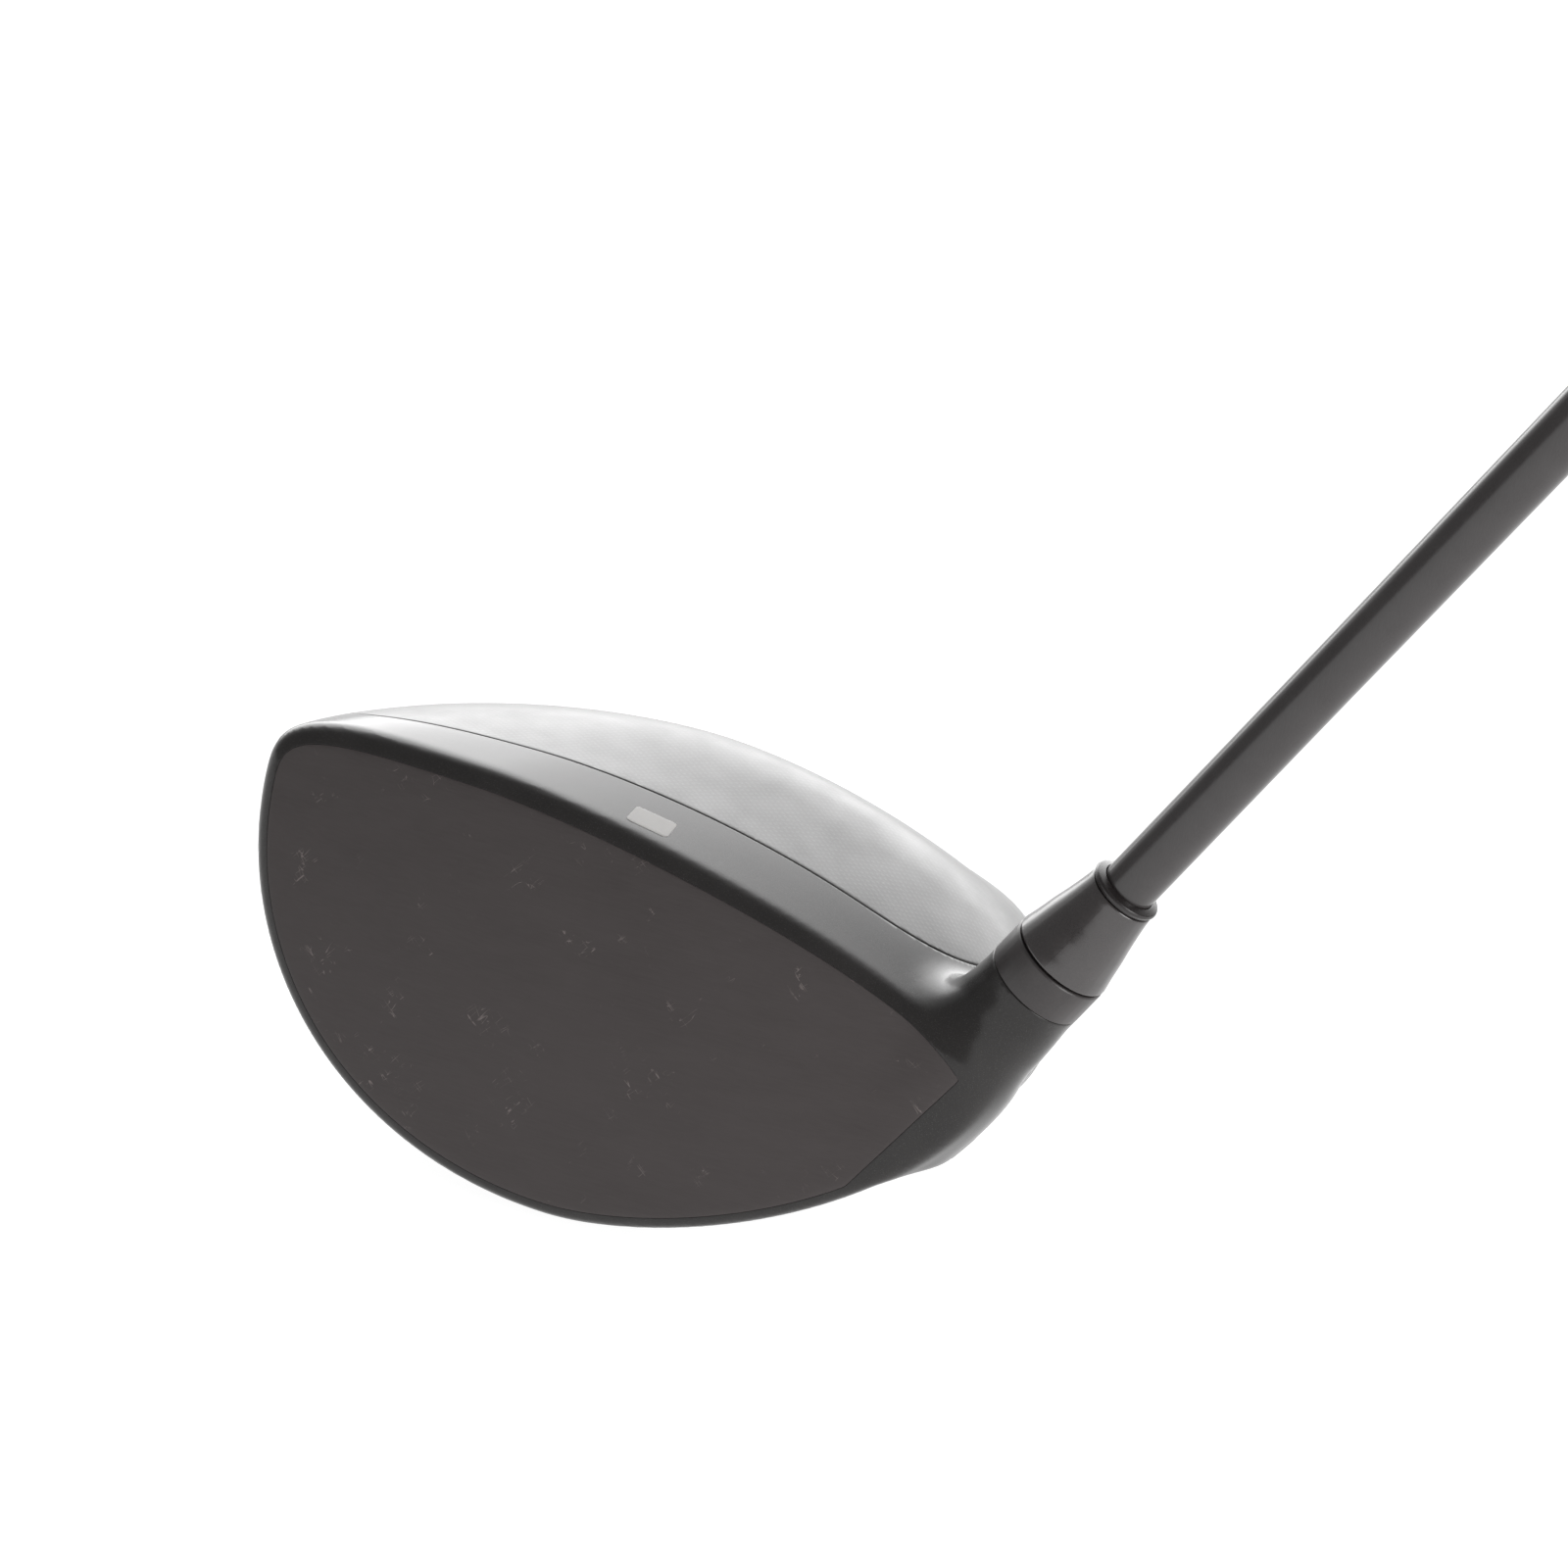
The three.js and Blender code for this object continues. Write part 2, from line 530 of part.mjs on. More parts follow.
// A thin sleeve that follows the shaft's taper, its walls at two distances from the shaft.
function aroundShaft(near, far, low, high) {
  return turned([[shaftRadius(low) + near, low], [shaftRadius(low) + far, low],
    [shaftRadius(high) + far, high], [shaftRadius(high) + near, high]]);
}

function makeGrip() {
  const clear = 1.1;
  const vent = 1.2;
  const capFloor = SHAFT_BUTT + 1;
  return turned([[shaftRadius(GRIP_MOUTH) + clear, GRIP_MOUTH], [8.9, GRIP_MOUTH], [9.4, GRIP_MOUTH + 2],
    [10.6, 980], [12, 1080], [13, 1136], [13.6, 1144], [13.6, 1148.5], [12.4, CLUB_LENGTH],
    [vent, CLUB_LENGTH], [vent, capFloor], [shaftRadius(SHAFT_BUTT) + clear, capFloor]], 40);
}

addMesh(shaftLine, 'tip_plug', rod(1.95, SHAFT_TIP + 0.4, 70, 20), 0xb0a070, 0.4, 0.8);
addMesh(shaftLine, 'shaft', makeShaft(), 0x4d4848, 0.3, 0.1);
addMesh(shaftLine, 'grip_tape', aroundShaft(0.3, 0.8, GRIP_MOUTH + 6, SHAFT_BUTT - 1), 0xcfc8b4, 0.8, 0);
addMesh(shaftLine, 'grip', makeGrip(), 0x232222, 0.85, 0);

export default golfDriver;
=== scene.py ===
"""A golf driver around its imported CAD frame: the finished surfaces of the head, adapter, shaft and grip.

Lengths are in millimetres in the maths and become metres when a mesh is made. +Z is up, the face looks
along -Y, the toe is at -X, and the origin is the middle of the flat pad under the sole.
"""
import json
import math

import bmesh
import bpy
import numpy as np
import openvdb as vdb
from mathutils import Matrix, Vector


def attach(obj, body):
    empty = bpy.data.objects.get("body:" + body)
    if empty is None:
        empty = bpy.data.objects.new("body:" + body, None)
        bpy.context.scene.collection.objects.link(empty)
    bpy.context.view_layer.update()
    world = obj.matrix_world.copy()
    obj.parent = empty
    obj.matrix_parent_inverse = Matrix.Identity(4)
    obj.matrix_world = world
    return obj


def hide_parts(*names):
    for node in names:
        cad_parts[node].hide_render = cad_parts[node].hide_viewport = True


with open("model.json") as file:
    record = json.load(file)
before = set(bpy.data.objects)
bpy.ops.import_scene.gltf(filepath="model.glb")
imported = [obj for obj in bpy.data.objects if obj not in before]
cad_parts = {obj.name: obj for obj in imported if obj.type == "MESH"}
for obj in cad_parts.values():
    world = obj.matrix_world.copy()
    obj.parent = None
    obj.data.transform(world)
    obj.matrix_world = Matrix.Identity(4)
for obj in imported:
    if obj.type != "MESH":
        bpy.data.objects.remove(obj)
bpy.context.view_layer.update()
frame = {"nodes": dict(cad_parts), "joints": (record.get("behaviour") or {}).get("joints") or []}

MM = 0.001
TURN = 2 * math.pi

# ---------------------------------------------------------------- dimensions shared with the CAD
LOFT = math.tan(math.radians(10.5))
FACE_RADIUS = 300
FACE_Y = -30.4
FACE_Z = 38
EDGE_RADIUS = 2.5
HEAD_DEPTH = 110
STATIONS = [0, 11, 25, 43, 62, 90]
RAILS = {
    "toe": [62, 63.5, 66.5, 69, 68, 64],
    "heel": [60, 63, 64, 63.5, 63, 62],
    "top": [65, 64.8, 64, 49.9, 37.3, 31],
    "bottom": [1.2, -0.6, -1.6, 4.8, 12.6, 25],
    "toeLine": [54, 47.5, 42, 39, 35, 30],
    "heelLine": [36.5, 34, 30.5, 29, 29, 28],
    "topApex": [-26, -17, -5.5, -4.2, 0, 0],
    "bottomApex": [-1, 0, 0, 0, 0, 0],
    "topToe": [3.3, 2.46, 1.74, 2.1, 2, 2],
    "topHeel": [1.55, 1.67, 1.7, 1.8, 2, 2],
    "bottomToe": [2.05, 1.95, 1.93, 1.95, 2, 2],
    "bottomHeel": [1.62, 1.55, 1.7, 1.9, 2, 2],
}
WIDTH_CLOSING = 0.75
HEIGHT_CLOSING = 0.35
FLATTENING = 60

LIE = math.radians(60)
AXIS_FOOT = np.array([32.1, -16, 0])
AXIS = np.array([math.cos(LIE), 0, math.sin(LIE)])
RIM = 61.3
SEAM = 67.4
SLEEVE_LOW = 40
SLEEVE_HIGH = 82
FERRULE_HIGH = 83.6
SHAFT_TIP = 54.2
SHAFT_PARALLEL = 130
SHAFT_BUTT = 1144
GRIP_MOUTH = 880
CLUB_LENGTH = 1150
HOSEL_RADIUS = 8.15
BORE_RADIUS = 6.35
PORT_RADIUS = 6
TIP_RADIUS = 4.3
BUTT_RADIUS = 7.6
SHAFT_WALL = 1.2
TIP_BORE = 2.3
GAP = 0.3
SPLINES = 12

CROWN_FRONT = -9
CROWN_INSET = 5
SPINE_HALF_WIDTH = 12
TOE_PANEL_FRONT = -16
HEEL_PANEL_FRONT = -2
HOSEL_RELIEF = 11
SKIRT_HEIGHT = 33
SKIRT_SLOPE = -0.13


def joint_seat(name):
    """Where a screw's axis meets the sole and the way in along it, as its joint in the frame says."""
    joint = next(j for j in frame["joints"] if j["name"] == name)
    return np.array(joint["pos_m"]) / MM, -np.array(joint["axis"])


REAR_SEAT = joint_seat("rear_weight_turn")
FRONT_SEAT = joint_seat("front_weight_turn")

# ---------------------------------------------------------------- how finely the surfaces are made
VOXEL = 0.7
COLUMNS = 480
SKIN_ROWS = 220
FILLET = 7
BAND = 14
FIELD_SMOOTHINGS = 2
FIELD_LOW = np.array([-118, -66, -16])
FIELD_SHAPE = (222, 196, 124)

# ---------------------------------------------------------------- camera
CAMERA_TARGET = np.array([0, -30.4, 38])
CAMERA_DISTANCE = 1100
CAMERA_ELEVATION = math.radians(24)
CAMERA_AZIMUTH = math.radians(16)
CAMERA_ROLL = math.radians(9.5)
CAMERA_LENS = 167.06
# How far the camera aims to the side of its target and below it, over its distance.
TARGET_SHIFT = (0.02532, 0.02896)


def make_camera():
    e, a, r = CAMERA_ELEVATION, CAMERA_AZIMUTH, CAMERA_ROLL
    back = np.array([math.sin(a) * math.cos(e), -math.cos(a) * math.cos(e), math.sin(e)])
    right = np.array([math.cos(a), math.sin(a), 0])
    up = np.cross(back, right)
    across = right * math.cos(r) + up * math.sin(r)
    above = up * math.cos(r) - right * math.sin(r)
    place = CAMERA_TARGET + back * CAMERA_DISTANCE
    back = back - TARGET_SHIFT[0] * across - TARGET_SHIFT[1] * above
    back /= np.linalg.norm(back)
    across -= back * (across @ back)
    across /= np.linalg.norm(across)
    above = np.cross(back, across)
    data = bpy.data.cameras.new("camera")
    data.lens = CAMERA_LENS
    data.sensor_width = 36
    data.clip_end = 30
    camera = bpy.data.objects.new("camera", data)
    matrix = Matrix(np.column_stack([across, above, back]).tolist()).to_4x4()
    matrix.translation = Vector(place * MM)
    camera.matrix_world = matrix
    bpy.context.scene.collection.objects.link(camera)
    bpy.context.scene.camera = camera


make_camera()


# ---------------------------------------------------------------- the head's surface
def rail(name, angle):
    """A rail's value at a station angle, on a smooth curve through its values."""
    values = np.array(RAILS[name], float)
    stations = np.array(STATIONS, float)
    slopes = np.empty(len(values))
    last = len(values) - 1
    for i in range(len(values)):
        low, high = max(i - 1, 0), min(i + 1, last)
        slopes[i] = (values[high] - values[low]) / (stations[high] - stations[low])
    i = min(max(int(np.searchsorted(stations, angle)) - 1, 0), last - 1)
    step = stations[i + 1] - stations[i]
    s = (angle - stations[i]) / step
    return (
        (2 * s**3 - 3 * s**2 + 1) * values[i]
        + (s**3 - 2 * s**2 + s) * step * slopes[i]
        + (3 * s**2 - 2 * s**3) * values[i + 1]
        + (s**3 - s**2) * step * slopes[i + 1]
    )


def face_y(x, z):
    rise = z - FACE_Z
    return FACE_Y + rise * LOFT + (x * x + rise * rise) / (2 * FACE_RADIUS)


def section(angle, inset=0.0, columns=COLUMNS):
    """The outline of the cross-section at a station as evenly spaced (x, z), from the heel over the top."""
    closing = max(math.cos(math.radians(angle)), 1e-4)
    width, height = closing**WIDTH_CLOSING, closing**HEIGHT_CLOSING
    top, bottom = rail("top", angle), rail("bottom", angle)
    middle = (top + bottom) / 2

    def squeeze(z):
        return middle + (z - middle) * height

    around = np.linspace(0, TURN, 4001)
    across, up = np.cos(around), np.sin(around)
    heel, upper = across >= 0, up >= 0
    side = np.where(heel, squeeze(rail("heelLine", angle)), squeeze(rail("toeLine", angle)))
    edge = np.where(upper, squeeze(top) - inset, squeeze(bottom) + inset)
    reach = np.where(heel, rail("heel", angle) * width - inset, inset - rail("toe", angle) * width)
    apex = np.where(upper, rail("topApex", angle), rail("bottomApex", angle)) * width
    exponent = np.where(
        upper,
        np.where(heel, rail("topHeel", angle), rail("topToe", angle)),
        np.where(heel, rail("bottomHeel", angle), rail("bottomToe", angle)),
    )
    x = apex + (reach - apex) * np.abs(across) ** (2 / exponent)
    z = side + (edge - side) * np.abs(up) ** (2 / exponent)
    return evenly(np.column_stack([x, z]), columns)


def evenly(points, count):
    """A closed outline, its first point repeated at its end, as a number of evenly spaced points."""
    along = np.concatenate([[0], np.cumsum(np.linalg.norm(np.diff(points, axis=0), axis=1))])
    even = np.linspace(0, along[-1], count, endpoint=False)
    return np.column_stack([np.interp(even, along, points[:, k]) for k in range(points.shape[1])])


def blur_ring(values, width):
    """Smooths along the first axis, which closes on itself."""
    reach = int(3 * width)
    weights = np.exp(-0.5 * (np.arange(-reach, reach + 1) / width) ** 2)
    weights /= weights.sum()
    return sum(w * np.roll(values, k, axis=0) for k, w in zip(range(-reach, reach + 1), weights))


def blur_rows(values, width):
    """Smooths along the first axis and keeps both ends in place."""
    reach = int(3 * width)
    weights = np.exp(-0.5 * (np.arange(-reach, reach + 1) / width) ** 2)
    weights /= weights.sum()
    start = 2 * values[:1] - values[1 : reach + 1][::-1]
    end = 2 * values[-1:] - values[-reach - 1 : -1][::-1]
    padded = np.concatenate([start, values, end])
    count = len(values)
    return sum(w * padded[k : k + count] for k, w in enumerate(weights))


def hull_rings():
    """Rings of points from the middle of the face to the tail."""
    outline = blur_ring(section(0, EDGE_RADIUS), 2)
    rings = []
    for scale in np.linspace(0.02, 1, 60):
        x = outline[:, 0] * scale
        z = FACE_Z + (outline[:, 1] - FACE_Z) * scale
        rings.append(np.column_stack([x, face_y(x, z), z]))
    full = blur_ring(section(0), 2)
    for turn in np.radians(np.linspace(0, 90, 9)[1:-1]):
        mix = math.sin(turn)
        x, z = ((1 - mix) * outline + mix * full).T
        rings.append(np.column_stack([x, face_y(x, z) + EDGE_RADIUS * (1 - math.cos(turn)), z]))
    skin = []
    for angle in np.linspace(0, 88.6, SKIN_ROWS):
        x, z = blur_ring(section(angle), 2 + 4 * min(1, angle / 20)).T
        flat = min(1, angle / FLATTENING)
        depth = HEAD_DEPTH * math.sin(math.radians(angle))
        y = EDGE_RADIUS + depth + (1 - flat) * face_y(x, z) + flat * FACE_Y
        skin.append(np.column_stack([x, y, z]))
    skin = blur_rows(np.array(skin), 7)
    return np.concatenate([np.array(rings), skin])


def closed_grid(rings):
    """Points and quads of rings with a point closing each end."""
    rows, columns = rings.shape[:2]
    i, j = np.meshgrid(np.arange(rows - 1), np.arange(columns), indexing="ij")
    k = (j + 1) % columns
    quads = np.stack([i * columns + j, (i + 1) * columns + j, (i + 1) * columns + k, i * columns + k], -1)
    ends = [rings[0].mean(0), rings[-1].mean(0)]
    points = np.concatenate([rings.reshape(-1, 3), ends])
    first, last = rows * columns, rows * columns + 1
    j = np.arange(columns)
    k = (j + 1) % columns
    base = (rows - 1) * columns
    start = np.column_stack([j, k, np.full(columns, first)])
    stop = np.column_stack([base + k, base + j, np.full(columns, last)])
    return points, quads.reshape(-1, 4), np.concatenate([start, stop])


def axis_split(points):
    """Height along the shaft line and distance from it."""
    away = points - AXIS_FOOT
    height = away @ AXIS
    radius = np.linalg.norm(away - height[..., None] * AXIS, axis=-1)
    return height, radius


def head_field():
    """Signed distance to the head's outside, the hosel blended into it, on a regular grid."""
    points, quads, corners = closed_grid(hull_rings())
    step = vdb.createLinearTransform(voxelSize=VOXEL)
    hull = vdb.FloatGrid.createLevelSetFromPolygons(
        points.astype(np.float32),
        triangles=corners.astype(np.uint32),
        quads=quads.astype(np.uint32),
        transform=step,
        halfWidth=BAND / VOXEL,
    )
    body = np.full(FIELD_SHAPE, BAND, np.float32)
    hull.copyToArray(body, ijk=tuple(int(v) for v in FIELD_LOW))
    if body[-FIELD_LOW[0], 40 - FIELD_LOW[1], 40 - FIELD_LOW[2]] > 0:
        body = -body
    index = np.stack(np.meshgrid(*[np.arange(n) for n in FIELD_SHAPE], indexing="ij"), -1)
    where = (index + FIELD_LOW) * VOXEL
    height, radius = axis_split(where)
    profile = np.interp(height, [30, 46, 52, 56, 59, 90], [7.85, 7.85, 8.6, 8.4, 8.15, 8.15])
    hosel = np.maximum(radius - profile, 30 - height)
    overlap = np.maximum(FILLET - np.abs(body - hosel), 0) / FILLET
    field = np.minimum(body, hosel) - overlap**2 * FILLET / 4
    for axis in (0, 1, 2) * FIELD_SMOOTHINGS:
        field = (np.roll(field, 1, axis) + 2 * field + np.roll(field, -1, axis)) / 4
    return np.maximum.reduce([field, height - 66, -where[..., 2]]).astype(np.float32)


def sample(field, points):
    """The field's value at points, between its grid points."""
    at = points / VOXEL - FIELD_LOW
    low = np.clip(np.floor(at).astype(int), 0, np.array(FIELD_SHAPE) - 2)
    t = at - low
    total = np.zeros(len(points))
    for corner in range(8):
        offset = np.array([corner >> 2 & 1, corner >> 1 & 1, corner & 1])
        weight = np.prod(np.where(offset, t, 1 - t), axis=1)
        i, j, k = (low + offset).T
        total += weight * field[i, j, k]
    return total


def skin_mesh():
    """The head's outside as points, triangles and outward directions."""
    field = head_field()
    grid = vdb.FloatGrid(float(BAND))
    grid.transform = vdb.createLinearTransform(voxelSize=VOXEL)
    grid.copyFromArray(field, ijk=tuple(int(v) for v in FIELD_LOW))
    points, triangles, quads = grid.convertToPolygons(0.0, 0.0)
    points = points.astype(float)
    quads = quads.astype(int)
    faces = np.concatenate([triangles.astype(int), quads[:, [0, 1, 2]], quads[:, [0, 2, 3]]])
    a, b, c = (points[faces[:, k]] for k in range(3))
    if np.einsum("ij,ij->", a, np.cross(b, c)) < 0:
        faces = faces[:, ::-1]
    for _ in range(3):
        slope = np.stack(
            [sample(field, points + d) - sample(field, points - d) for d in np.eye(3) * VOXEL], 1
        ) / (2 * VOXEL)
        size = np.linalg.norm(slope, axis=1, keepdims=True)
        normals = slope / np.maximum(size, 1e-6)
        points = points - normals * (sample(field, points)[:, None] / np.maximum(size, 0.3))
    return points, faces, normals, field


# ---------------------------------------------------------------- outlines of the panels
def outline_distance(points, outline):
    """Distance from 2-D points to a closed outline, positive inside it."""
    start, end = outline, np.roll(outline, -1, axis=0)
    edge = end - start
    length = (edge**2).sum(1)
    result = np.empty(len(points))
    for first in range(0, len(points), 8000):
        p = points[first : first + 8000, None, :]
        away = p - start
        t = np.clip((away * edge).sum(2) / length, 0, 1)
        gap = away - t[..., None] * edge
        distance = np.sqrt((gap**2).sum(2).min(1))
        rising = (start[:, 1] <= p[..., 1]) != (end[:, 1] <= p[..., 1])
        rise = np.where(edge[:, 1] == 0, 1, edge[:, 1])
        cross = start[:, 0] + (p[..., 1] - start[:, 1]) * edge[:, 0] / rise
        inside = (rising & (p[..., 0] < cross)).sum(1) % 2 == 1
        result[first : first + 8000] = np.where(inside, distance, -distance)
    return result


def smooth_outline(points, count, width):
    closed = np.array(points + points[:1], float)
    return blur_ring(evenly(closed, count), width)


def crown_outline():
    """The crown panel's edge seen from above."""
    front = CROWN_FRONT

    def side(angle, sign):
        width = rail("heel" if sign > 0 else "toe", angle)
        width *= math.cos(math.radians(angle)) ** WIDTH_CLOSING
        depth = EDGE_RADIUS + FACE_Y + HEAD_DEPTH * math.sin(math.radians(angle))
        slant = max(0, angle - 45) / 45
        return (sign * (width - CROWN_INSET * (1 - 0.3 * slant)), depth - CROWN_INSET * slant)

    tail = EDGE_RADIUS + FACE_Y + HEAD_DEPTH - CROWN_INSET
    points = [side(angle, -1) for angle in (78, 74, 70, 66, 57, 48, 38, 28, 20)]
    points += [(-55.5, front + 3.5), (-53, front), (-30, front), (0, front), (20, front), (38, front)]
    points += [(45, front + 2), (50, front + 6)]
    points += [side(angle, 1) for angle in (22, 30, 38, 48, 57, 66, 70, 74, 78)]
    points += [(12, tail - 0.2), (0, tail), (-12, tail - 0.2)]
    return smooth_outline(points, 400, 5)


def face_outline():
    """The face insert's edge: the face's outline, cut straight across near the heel."""
    x, z = blur_ring(section(0, EDGE_RADIUS, 600), 2.5).T
    return np.column_stack([np.minimum(x, 45 + (z - 22) * 0.66), z])


def corner(values, radius):
    """Where all the values are positive, with the corners rounded to a radius."""
    over = [np.maximum(radius - v, 0) for v in values]
    return np.minimum(radius - np.sqrt(sum(o**2 for o in over)), np.minimum.reduce(values) + radius * 10)


def round_about(points, seat, radius):
    """How far points lie outside a hole of a radius about a seat's line."""
    foot, inward = seat
    away = points - foot
    depth = away @ inward
    distance = np.linalg.norm(away - depth[:, None] * inward, axis=1) - radius
    return np.where(np.abs(depth) < 8, distance, 50)


def region_values(points):
    """Signed distances to the edges of the head's outside pieces, positive inside each piece."""
    x, y, z = points.T
    height, radius = axis_split(points)
    face = outline_distance(points[:, [0, 2]], face_outline())
    face = np.where(y < face_y(x, z) + 1.5, face, -50)
    crown = np.minimum(outline_distance(points[:, :2], crown_outline()), z - 29)
    crown = corner([crown, radius - HOSEL_RELIEF], 3)
    skirt = (SKIRT_HEIGHT + SKIRT_SLOPE * y - z) / math.hypot(1, SKIRT_SLOPE)
    soles = [
        corner([side * x - SPINE_HALF_WIDTH, y - front, skirt], 5)
        for side, front in ((-1, TOE_PANEL_FRONT), (1, HEEL_PANEL_FRONT))
    ]
    port = np.where(height < 30, radius - PORT_RADIUS, 50)
    holes = np.minimum.reduce(
        [port, round_about(points, REAR_SEAT, 7), round_about(points, FRONT_SEAT, 7), RIM - height]
    )
    return {
        "face": face,
        "crown": crown,
        "toe": soles[0],
        "heel": soles[1],
        "holes": holes,
        "height": height,
    }


# ---------------------------------------------------------------- mesh tools
def cut(data, faces, values):
    """The part of a triangle mesh where values are positive, cut cleanly along their zero line."""
    values = np.where(np.abs(values) < 1e-5, 1e-5, values)
    inside = values > 0
    count = inside[faces].sum(1)
    whole = faces[count == 3]
    corners, quads = faces[count == 1], faces[count == 2]
    corners = roll_faces(corners, inside[corners].argmax(1))
    quads = roll_faces(quads, (~inside[quads]).argmax(1))
    edges = np.concatenate([corners[:, [0, 1]], corners[:, [0, 2]], quads[:, [0, 1]], quads[:, [0, 2]]])
    ordered = np.sort(edges, axis=1)
    unique, back = np.unique(ordered, axis=0, return_inverse=True)
    back = back.ravel()
    a, b = values[unique[:, 0]], values[unique[:, 1]]
    t = (a / (a - b))[:, None]
    made = data[unique[:, 0]] * (1 - t) + data[unique[:, 1]] * t
    index = len(data) + back
    n, m = len(corners), len(quads)
    ab, ac, pq, pr = index[:n], index[n : 2 * n], index[2 * n : 2 * n + m], index[2 * n + m :]
    parts = [
        whole,
        np.column_stack([corners[:, 0], ab, ac]),
        np.column_stack([pq, quads[:, 1], quads[:, 2]]),
        np.column_stack([pq, quads[:, 2], pr]),
    ]
    data, faces = np.concatenate([data, made]), np.concatenate(parts)
    used, faces = np.unique(faces, return_inverse=True)
    return data[used], faces.reshape(-1, 3)


def roll_faces(faces, first):
    rows = np.arange(len(faces))[:, None]
    return faces[rows, (first[:, None] + np.arange(3)) % 3]


def border(faces):
    """The edges that only one face has, in the order that face has them."""
    edges = np.concatenate([faces[:, [0, 1]], faces[:, [1, 2]], faces[:, [2, 0]]])
    keys = set(map(tuple, edges))
    return np.array([e for e in map(tuple, edges) if (e[1], e[0]) not in keys])


def plate(data, faces, thickness, raised=0.0, bevel=0.22):
    """A closed sheet under a patch of skin: a small round edge along its border, and an inner side."""
    points, normals = data[:, :3].copy(), data[:, 3:6]
    normals = normals / np.linalg.norm(normals, axis=1, keepdims=True)
    depth = np.broadcast_to(np.asarray(thickness, float), len(points)).copy()
    points += normals * raised
    edges = border(faces)
    ahead = points[edges[:, 1]] - points[edges[:, 0]]
    outward = np.zeros_like(points)
    for end in (0, 1):
        np.add.at(outward, edges[:, end], np.cross(ahead, normals[edges[:, end]]))
    rim = np.unique(edges)
    side = outward[rim] / np.maximum(np.linalg.norm(outward[rim], axis=1, keepdims=True), 1e-9)
    up, down = normals[rim], depth[rim][:, None]
    bevel = np.broadcast_to(np.asarray(bevel, float), len(points))[rim][:, None]
    turns = [(math.sin(t), 1 - math.cos(t)) for t in np.radians([30, 60, 90])]
    rings = [points[rim] + side * bevel * a - up * bevel * b for a, b in turns]
    rings.append(points[rim] + side * bevel - up * down)
    inner = points - normals * depth[:, None]
    inner[rim] = rings.pop()
    place = np.full(len(points), -1)
    place[rim] = np.arange(len(rim))
    starts = [len(points) * 2 + len(rim) * k for k in range(len(rings))]
    levels = [edges] + [place[edges] + start for start in starts] + [edges + len(points)]
    walls = [
        np.concatenate([np.column_stack([low[:, 1], low[:, 0], high[:, 0]]),
                        np.column_stack([low[:, 1], high[:, 0], high[:, 1]])])
        for low, high in zip(levels, levels[1:])
    ]
    everything = np.concatenate([points, inner] + rings)
    return everything, np.concatenate([faces, faces[:, ::-1] + len(points)] + walls)


def rounded(profile, radius, steps=3):
    """A profile's corners turned into small arcs; its two ends stay as they are."""
    points = [np.array(p, float) for p in profile]
    made = [points[0]]
    for before, here, after in zip(points, points[1:], points[2:]):
        reach = min(radius, 0.45 * np.linalg.norm(before - here), 0.45 * np.linalg.norm(after - here))
        start = here + (before - here) / np.linalg.norm(before - here) * reach
        end = here + (after - here) / np.linalg.norm(after - here) * reach
        for t in np.linspace(0, 1, steps + 1):
            made.append((1 - t) ** 2 * start + 2 * t * (1 - t) * here + t**2 * end)
    return np.array(made + [points[-1]])


def lathe(profiles, angles):
    """A closed solid about +Z: one (radius, height) profile per column. Profiles end where they started
    or on the axis."""
    columns, count = profiles.shape[:2]
    radius, height = profiles[..., 0], profiles[..., 1]
    points = np.stack([radius * np.cos(angles)[:, None], radius * np.sin(angles)[:, None], height], -1)
    faces = []
    for i in range(columns):
        j = (i + 1) % columns
        for k in range(count - 1):
            faces.append((i * count + k, j * count + k, j * count + k + 1, i * count + k + 1))
    return points.reshape(-1, 3), faces


def turned(profile, columns=96):
    angles = np.arange(columns) * TURN / columns
    profile = np.asarray(profile, float)
    return lathe(np.broadcast_to(profile, (columns,) + profile.shape).copy(), angles)


def toothed(plain, tooth, width, radius):
    """A turned solid with evenly spaced teeth or slots, where the second profile takes over."""
    angles, profiles = [], []
    half = width / 2 / radius
    for i in range(SPLINES):
        middle = i * TURN / SPLINES
        for offset in (-half - 1e-4, -half + 1e-4, 0, half - 1e-4, half + 1e-4):
            angles.append(middle + offset)
            profiles.append(shape(tooth if abs(offset) < half else plain, middle + offset))
        space = TURN / SPLINES - 2 * half
        for share in (0.2, 0.4, 0.6, 0.8):
            angles.append(middle + half + space * share)
            profiles.append(shape(plain, angles[-1]))
    return lathe(np.array(profiles, float), np.array(angles))


def shape(profile, angle):
    return profile(angle) if callable(profile) else profile


def axis_matrix(foot, direction):
    turn = Vector((0, 0, 1)).rotation_difference(Vector(direction)).to_matrix().to_4x4()
    return Matrix.Translation(Vector(foot) * MM) @ turn


SHAFT_LINE = axis_matrix(AXIS_FOOT, AXIS)


